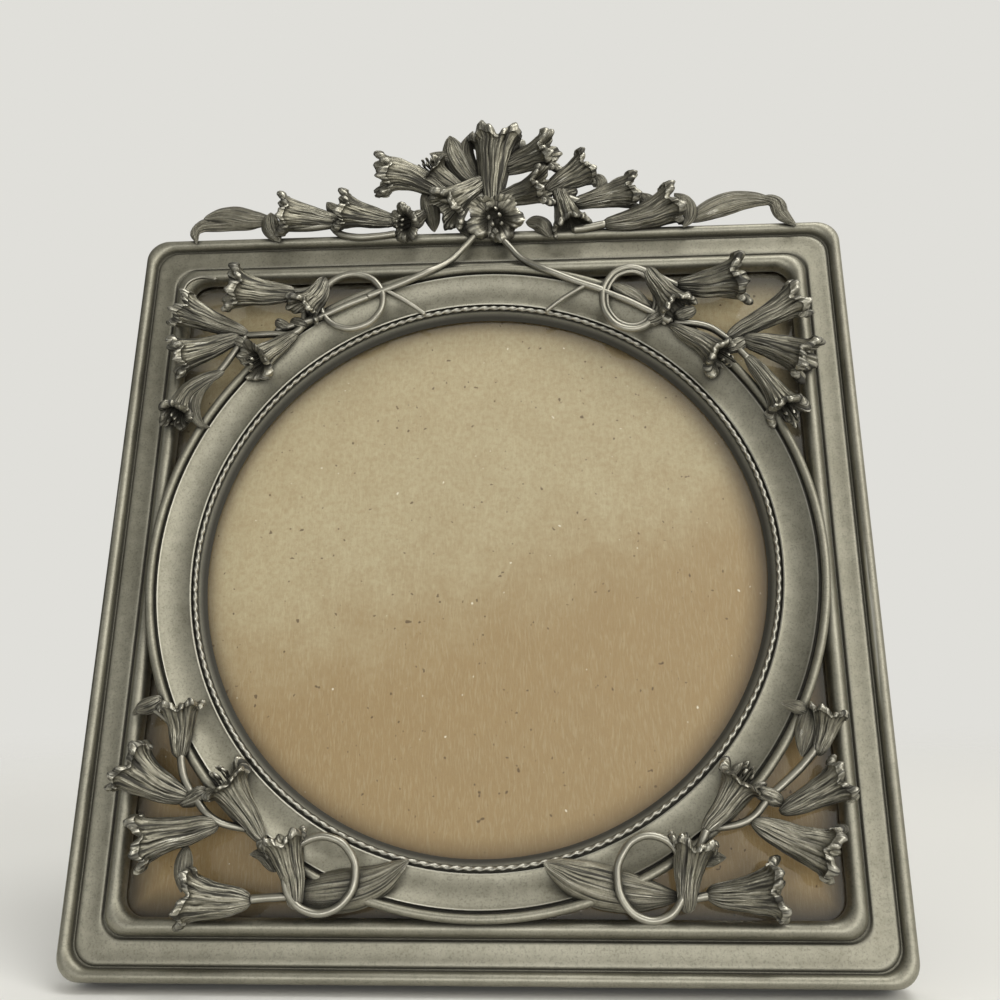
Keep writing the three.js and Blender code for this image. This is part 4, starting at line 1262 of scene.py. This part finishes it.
class Spray:
    """Collects forms and joins them into one casting."""

    def __init__(self, name, spot, seed):
        self.name = name
        self.spot = spot
        self.seed = seed
        self.parts = []

    def spots(self, marks):
        return [self.spot(*mark) for mark in marks]

    def add(self, form):
        self.seed += 1
        self.parts.append(form)

    def trumpet(self, mouth, *marks, tilt=1.1):
        """tilt lifts the mouth, so that the flower turns a little to the viewer."""
        spots = [Vector(spot) for spot in self.spots(marks)]
        for number, spot in enumerate(spots):
            spot.z += tilt * (number / (len(spots) - 1)) ** 2
        self.add(bent(closed_trumpet, spots, mouth * MOUTH_SHARE, self.seed))

    def blossom(self, mouth, *marks):
        self.add(bent(open_trumpet, self.spots(marks), mouth * MOUTH_SHARE, self.seed))

    def leaf(self, half, *marks):
        self.add(bent(leaf_pattern, self.spots(marks), half * LEAF_SHARE, self.seed, 0.12))

    def stem(self, *marks, radius=VINE_RADIUS, taper=0.85):
        self.add(wire(self.spots(marks), radius, taper, seed=self.seed))

    def calyx(self, half, *marks):
        self.add(bent(calyx, self.spots(marks), half * CALYX_SHARE, self.seed, 0.4))

    def loop(self, across, up, half_x, half_y, rise=0, doubled=False):
        """A tendril wound into an oval; a doubled one has a finer wire that runs inside it."""
        middle = Vector(self.spot(across, up, rise))
        wires = [(0, TENDRIL_RADIUS, 0), (0.95, 0.5, -0.15)] if doubled else [(0, TENDRIL_RADIUS, 0)]
        for inset, radius, lift in wires:
            marks = []
            for step in range(10):
                angle = 2 * math.pi * step / 10
                reach_x = (half_x - inset) * math.cos(angle)
                reach_y = (half_y - inset) * math.sin(angle)
                marks.append(middle + Vector((reach_x, reach_y, lift)))
            self.add(wire(marks, radius, closed=True, seed=self.seed))

    def cast(self):
        casting = join(self.name, self.parts)
        node = self.name.replace("cast_", "")
        finish_piece(casting, "frame", flower_pewter, [node], smooth=60)


def corner_spray(name, side_x, side_y, seed):
    def spot(across, up, rise=0):
        return (side_x * (HALF_WIDTH - across), side_y * (HALF_HEIGHT - up), VINE_LEVEL + rise)
    return Spray(name, spot, seed)


def crossing_vine(spray):
    """The vine from a top loop up over the moulding to the crest, and a twig down to the rope edge."""
    spray.stem((50, 18), (57.5, 14.8), (62.8, 12.2), (67, 9, -1.5), (70.2, 5, -2.2), (73.6, 0.6, -2.2))
    spray.stem((54, 16.4), (59, 19.2, -0.8), (62.5, 21.6, -1.6), radius=0.55)


# %% Top left spray
vine = corner_spray("cast_spray_top_left", -1, 1, 10)
vine.trumpet(5.0, (35, 16.5), (27, 16.6), (20.5, 16.2), tilt=3.4)
vine.trumpet(4.0, (25.5, 26), (17, 22.8), (9.9, 19.7), tilt=2)
vine.trumpet(4.3, (24, 26.3), (16.5, 29.8), (10.2, 32.3), tilt=2)
vine.blossom(4.2, (36, 26), (30, 30.5), (27.5, 33, 1.0), (26.5, 33.8, 2.6))
vine.blossom(3.4, (21, 34.5), (14.5, 38.5), (12, 44), (12, 46.5, 2.2))
vine.trumpet(4.3, (41, 13), (39.5, 17.5), (36.2, 22))
vine.stem((10.4, 17.4), (11.2, 13.6), (14, 12), (17.6, 12.6), radius=0.42)
vine.leaf(1.3, (19.5, 35), (15.5, 40.5), (17, 46), (19.5, 47.3))
vine.calyx(1.5, (34.3, 22.7), (37.7, 24.5))
vine.calyx(1.4, (30.9, 23.2), (34.1, 24.8))
vine.calyx(1.7, (22.2, 27.2), (26.2, 29.2))
vine.stem((31, 25.2, -0.6), (36.5, 23.8), (41.5, 22), (46, 19.8), (51, 17.6, -0.2))
vine.stem((33, 16.4), (38, 15.8), (41, 14))
vine.stem((22.5, 26, -0.6), (30, 26.2), (36, 25.6), (37.4, 21))
vine.stem((25, 26, -0.4), (22.5, 31), (19.2, 36, -0.2))
vine.loop(47, 18.8, 6.6, 6.5)
crossing_vine(vine)
vine.cast()

# %% Top right spray
vine = corner_spray("cast_spray_top_right", 1, 1, 40)
vine.trumpet(5.4, (35.2, 17.3), (28, 17.2), (20.9, 16.8), tilt=2.8)
vine.trumpet(4.0, (25.7, 29.6), (17.5, 25.2), (9.7, 21.3), tilt=2)
vine.trumpet(4.8, (22.7, 30.1), (16, 32.4), (9, 36.4), tilt=2)
vine.blossom(4.0, (37.2, 26.3), (31, 30.5), (26.4, 35, 0.8), (25.6, 36, 2.0))
vine.blossom(4.0, (22.2, 33.6), (17.7, 40.6), (14.8, 46.5), (14.2, 48.6, 1.6))
vine.trumpet(4.0, (41.2, 12.8), (38.5, 18), (34.9, 24))
vine.leaf(1.7, (48.7, 16.3), (45, 18.5), (40.7, 22.1))
vine.calyx(1.7, (31.8, 22.8), (35.8, 24.8))
vine.calyx(1.8, (37.6, 23.6), (41.8, 25.6))
vine.calyx(1.9, (21.6, 30.3), (26.0, 32.5))
vine.stem((36.5, 25.6), (39.2, 24.1), (46.2, 20.1), (51, 17.6, -0.2))
vine.stem((34.5, 17.6), (38, 15.5), (41.2, 13.2))
vine.stem((36.5, 25.4, -0.8), (30, 26.5, -0.4), (26, 29.5), (21.6, 34.6))
vine.loop(44.7, 19.8, 5.9, 7.3, doubled=True)
crossing_vine(vine)
vine.cast()

# %% Bottom left spray
vine = corner_spray("cast_spray_bottom_left", -1, -1, 70)
vine.trumpet(4.0, (20, 38.2), (20, 43), (19.5, 48.7))
vine.trumpet(5.2, (22.5, 31.2), (16.5, 33.4), (10, 37.7))
vine.trumpet(4.8, (28.5, 26.7), (20, 24.8), (13, 23.2))
vine.trumpet(5.2, (35.5, 13.7), (29, 13.7), (22.5, 14.4))
vine.blossom(4.4, (37, 23.7), (33, 29), (28.8, 34.4), (27.4, 36, 1.8))
vine.trumpet(4.2, (43.4, 12.4), (42.2, 18.5), (40, 25.2))
vine.leaf(1.5, (23, 23), (22.6, 19.5), (22.8, 15))
vine.leaf(3.3, (41, 14.8, -0.9), (49, 15.2, -0.7), (56, 16.6, -0.7), (62.8, 20.6, -1.0))
vine.leaf(1.2, (39.5, 18.5), (37, 21.3), (34.5, 21.5))
vine.leaf(1.3, (16.5, 47), (13, 48.2), (10.3, 46.2))
vine.calyx(2.0, (11.1, 46.9), (15.7, 49.1))
vine.calyx(2.1, (21.1, 30.2), (25.9, 32.6))
vine.stem((35, 13.9), (38.5, 14.2), (43, 14.4))
vine.stem((20, 40.5), (21.2, 35), (23.5, 31.4), (28, 27.2), (33.5, 25.8, -1.2))
vine.stem((36, 24), (38.4, 20.6))
vine.stem((19.8, 43), (16.5, 46), (13.4, 48))
vine.loop(47.5, 18, 6.2, 6.4, rise=0.7)
vine.cast()

# %% Bottom right spray
vine = corner_spray("cast_spray_bottom_right", 1, -1, 100)
vine.trumpet(3.4, (15, 38.5), (13.2, 43), (12, 46.9))
vine.trumpet(4.0, (22.2, 28.7), (16, 31.6), (10, 34.7))
vine.trumpet(4.8, (27.2, 27.2), (19.5, 23.6), (12.5, 21))
vine.trumpet(5.2, (35.7, 15), (29, 15), (22.2, 15.7))
vine.blossom(4.1, (35.7, 25.2), (31.5, 30), (28.2, 34.6), (27, 36, 1.6))
vine.trumpet(4.2, (39.2, 12), (38.6, 18.5), (37.2, 24.7))
vine.leaf(2.0, (15.2, 47.4), (16.2, 43), (17.7, 38.2))
vine.leaf(1.1, (15.8, 46), (18, 47.2), (20.6, 47.9))
vine.leaf(3.3, (63.5, 20.2, -1.0), (57, 17.4, -0.7), (49, 15.4, -0.7), (39.5, 14.6, -0.9))
vine.leaf(1.2, (37, 20), (34.5, 21), (32, 21.2))
vine.calyx(2.0, (21.4, 30.1), (26.0, 32.4))
vine.stem((14.6, 40.4), (17.4, 37), (20.2, 34.4), (23.7, 31.4), (28, 27.2), (34.5, 26, -1.2))
vine.stem((34.4, 15), (38.7, 14.2))
vine.stem((35, 26), (37.6, 20))
vine.loop(45, 17.7, 5.8, 7, rise=0.7)
vine.cast()

# %% [markdown]
# ## The crest
# The crest is an openwork of the same vine, cast in three clusters that stand on the top edge. Its
# spots are marked from the middle of that edge: across, and up from it.

# %% Marks of the crest
CREST_LEVEL = 9.2


def crest_spray(name, seed):
    def spot(across, up, rise=0):
        return (across, HALF_HEIGHT + up, CREST_LEVEL + rise)
    return Spray(name, spot, seed)


# %% Left cluster
vine = crest_spray("cast_crest_left", 130)
vine.trumpet(4.7, (-32.5, 2.8), (-39, 4), (-46.2, 4.2), tilt=2)
vine.trumpet(4.6, (-19.6, 2.6), (-27, 4), (-33.2, 5), tilt=2)
vine.blossom(4.0, (-13.4, 4.6), (-16.4, 2, 0.6), (-18.8, 0.2, 3))
vine.leaf(2.4, (-62.8, 4.8), (-58, 5.8), (-52, 4.6), (-46, 3.6))
vine.leaf(1.7, (-31, 10.6), (-30.2, 7), (-27, 4.4), (-23, 3))
vine.leaf(1.3, (-35.6, 8.2), (-33.4, 6.2), (-30, 5.4))
vine.leaf(1.7, (-18.5, 3), (-15.8, 2.6), (-13.4, 3.4))
vine.leaf(1.8, (-50, 3, -0.6), (-59, 4.2, -0.6), (-64.2, 2.2), (-63.6, -2, 0.6))
vine.leaf(1.9, (-47.6, 5.4, 0.8), (-47.4, 2, 1.2), (-45, -2.4, 1))
vine.stem((-34, 3.4), (-33, 0.6), (-30, -0.9), (-24, -1.1), (-19.5, -0.5), radius=0.85)
vine.stem((-47, 2.4), (-40, 1.8), (-33, 2.4), radius=1.1)
vine.cast()

# %% Middle cluster
vine = crest_spray("cast_crest_centre", 160)
vine.trumpet(4.9, (-8, 7.5), (-12.4, 11.2), (-18.5, 13.9), (-25, 13.4), tilt=2)
vine.blossom(4.1, (-4, 8.5), (-8.6, 12.2), (-12.6, 15.4, 0.6), (-13.9, 16.4, 2.6))
vine.trumpet(6.0, (1, 5), (1.4, 15), (2.4, 24.4), tilt=1)
vine.trumpet(5.2, (0.6, 13), (-4.6, 8.6), (-10, 3.2), tilt=2)
vine.trumpet(4.8, (1, 14.6), (8.5, 17), (15.4, 18), tilt=3.5)
vine.trumpet(4.6, (1, 7), (8, 8.2), (13.8, 8.6), tilt=4)
vine.blossom(5.5, (1.6, 8), (1.6, 4.4, 0.2), (1.8, 1.4, 2.0), (1.8, 0.4, 4.2))
vine.leaf(3.0, (-8.6, 24.8), (-6.8, 18.5), (-1, 9.6))
vine.leaf(2.0, (-13, 20.2), (-8, 18.6), (-3.4, 13.6), (-0.8, 9.4))
vine.leaf(1.6, (-2.6, 15), (-5, 21), (-3.4, 25.8))
vine.leaf(1.8, (-14.2, 10), (-12.4, 5), (-11.4, -0.4))
vine.leaf(1.8, (8.4, 1.4), (11.4, 1, 0.3), (13.8, -2.8, 0.6))
vine.leaf(1.6, (-7, 1.6), (-4.4, 0.6), (-2.6, -2.6, 0.8))
vine.calyx(2.4, (-1.2, 5.6), (3.8, 8.6))
vine.stem((-12, 8.4), (-6, 7.6), (0, 8.4), (3, 7.4), radius=1.2)
vine.stem((1, 9.4), (0.8, 4), (0.6, -2.2), radius=1.1)
vine.cast()

# %% Right cluster
vine = crest_spray("cast_crest_right", 190)
vine.trumpet(4.6, (12.6, 9), (18, 12.4), (23, 15), tilt=1)
vine.trumpet(4.4, (18.6, 5.6), (26, 7.2), (33.4, 8.2), tilt=1)
vine.trumpet(4.8, (25, 0.2), (33.5, 1.6), (41.8, 5), tilt=1.5)
vine.trumpet(4.2, (15.6, 10.4), (16.8, 5), (18.6, -1.4), tilt=0.6)
vine.leaf(1.3, (22.4, 12.8), (24.6, 11.4, 0.6), (24.4, 7.4, 1))
vine.leaf(1.4, (25.6, 8.4), (29, 11), (32.4, 12.8))
vine.leaf(2.4, (43, 0.4), (49, 4), (55.5, 5.8), (63, 4.6))
vine.leaf(1.6, (33.6, 8), (34.8, 5.4, 0.8), (35, 2.4, 0.8))
vine.leaf(1.6, (58.4, 5.6), (62, 4.6, 0.4), (63, 1.6, 0.6), (65.8, -2, 0.6))
vine.leaf(1.5, (40.6, 7.4, 0.4), (43.2, 4.4, 1), (43.4, 1, 1), (42, -1.8, 1))
vine.calyx(1.8, (15.4, 7), (19.6, 9.6))
vine.stem((17, 7), (20, 6), (23, 6.6), radius=1.3)
vine.stem((18.3, -0.8), (21, -0.6), (26, 0.4), radius=1)
vine.cast()
for pattern in (closed_trumpet, open_trumpet, calyx, leaf_pattern):
    discard(pattern)

# %% [markdown]
# ## The floor
# The frame stands on a plain pale table. The floor is a wide disc that keeps the shadow near the
# frame and fades away further out, so that no horizon shows behind it.

# %% Floor
PALE = colour(224, 223, 218)
TABLE = colour(233, 232, 227)
FLOOR_RADIUS = 0.9
FADE_START = 0.16
FADE_END = 0.55

clear_selection()
bpy.ops.mesh.primitive_circle_add(vertices=96, radius=FLOOR_RADIUS, fill_type="NGON")
floor = added("floor")


def table_finish():
    finish = Finish("pale_table")
    finish.set(Base_Color=TABLE, Roughness=0.9, Specular_IOR_Level=0.1)
    clear = finish.node("ShaderNodeBsdfTransparent")
    fade = finish.length(finish.place()).between(FADE_START, FADE_END)
    faded = {0: fade, 1: Link(finish, finish.shader.outputs[0]), 2: clear}
    finish.plug(finish.out.inputs["Surface"], finish.node("ShaderNodeMixShader", {}, faded))
    return finish.material


floor.data.materials.append(table_finish())
floor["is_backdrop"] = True

# %% [markdown]
# ## Light
# A soft lamp on the right and a larger one overhead give the long highlights. A low one in front
# lights the lower edge, a weak one on the left opens the shadows, and one behind lights the back. The
# world is pale to the camera. Metal and glass see a plain room in it, bright above and to the right
# and dim to the left, which is what gives pewter its tones.

# %% Lamps and world
def soft_lamp(name, place, target, size, power, tint=(1, 1, 1)):
    data = bpy.data.lights.new(name, "AREA")
    data.shape = "RECTANGLE"
    data.size = size[0]
    data.size_y = size[1]
    data.energy = power
    data.color = tint
    lamp = bpy.data.objects.new(name, data)
    lamp.location = place
    aim = Vector(target) - Vector(place)
    lamp.rotation_euler = aim.to_track_quat("-Z", "Y").to_euler()
    bpy.context.collection.objects.link(lamp)


middle = (0, 0, 0.08)
soft_lamp("key", (0.75, -0.75, 0.6), middle, (0.6, 0.6), 3.4, (1.0, 0.985, 0.96))
soft_lamp("top", (0.3, -0.35, 1.2), middle, (0.6, 0.5), 5.0)
soft_lamp("low", (0.05, -0.9, 0.1), middle, (0.9, 0.25), 3.0)
soft_lamp("fill", (-0.8, -0.5, 0.35), middle, (0.4, 0.6), 0.7, (0.96, 0.98, 1.0))
soft_lamp("back", (-0.3, 0.8, 0.5), middle, (0.9, 0.6), 1.0)

world = bpy.data.worlds.new("studio")
world.use_nodes = True
bpy.context.scene.world = world
sky = Wiring(world.node_tree)
backdrop = world.node_tree.nodes["Background"]
direction = sky.node("ShaderNodeTexCoord", output="Generated")
to_right = sky.node("ShaderNodeSeparateXYZ", {}, {0: direction}, "X")
to_top = sky.node("ShaderNodeSeparateXYZ", {}, {0: direction}, "Z")
in_gloss = sky.node("ShaderNodeLightPath", output="Is Glossy Ray")
through_glass = sky.node("ShaderNodeLightPath", output="Is Transmission Ray")
to_camera = sky.node("ShaderNodeLightPath", output="Is Camera Ray")
brightness = (to_right * 0.5 + to_top * 0.3 + 0.45).between(0.05, 1.0)
room = sky.mix(brightness, colour(48, 47, 42), colour(236, 234, 226))
ambient = sky.mix(in_gloss.at_least(through_glass), colour(192, 191, 187), room)
sky.plug(backdrop.inputs["Color"], sky.mix(to_camera, ambient, PALE))

# %% [markdown]
# ## The camera
# The photograph was taken from close above the frame, a little to the right and below its middle.
# The camera keeps that viewpoint towards the frame: it is placed on the bench and stood up with it.

# %% Camera
LENS = 42.3
SENSOR_WIDTH = 36
VIEWPOINT = (17.49, -69.231, 225.554)
TILT = math.radians(20.793)
SWING = math.radians(3.620)
ROLL = math.radians(0.378)

camera_data = bpy.data.cameras.new("camera")
camera_data.lens = LENS
camera_data.sensor_width = SENSOR_WIDTH
camera_data.clip_start = 0.01
camera = bpy.data.objects.new("camera", camera_data)
bpy.context.collection.objects.link(camera)
aim = Matrix.Rotation(ROLL, 4, "Z") @ Matrix.Rotation(SWING, 4, "Y") @ Matrix.Rotation(TILT, 4, "X")
camera.matrix_world = standing @ Matrix.Translation(Vector(VIEWPOINT) * MM) @ aim
bpy.context.scene.camera = camera
bpy.context.scene.view_settings.view_transform = "Standard"

# %% [markdown]
# ## Measuring the size
# The visual model has to keep the size of the imported one, so both boxes are measured and how far
# the dressed one stands proud of the imported one is printed.

# %% Sizes
seen_low, seen_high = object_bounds()
for axis in range(3):
    below = (cad_low[axis] - seen_low[axis]) / MM
    above = (seen_high[axis] - cad_high[axis]) / MM
    print("xyz"[axis], "stands proud by", round(below, 2), "and", round(above, 2), "mm")
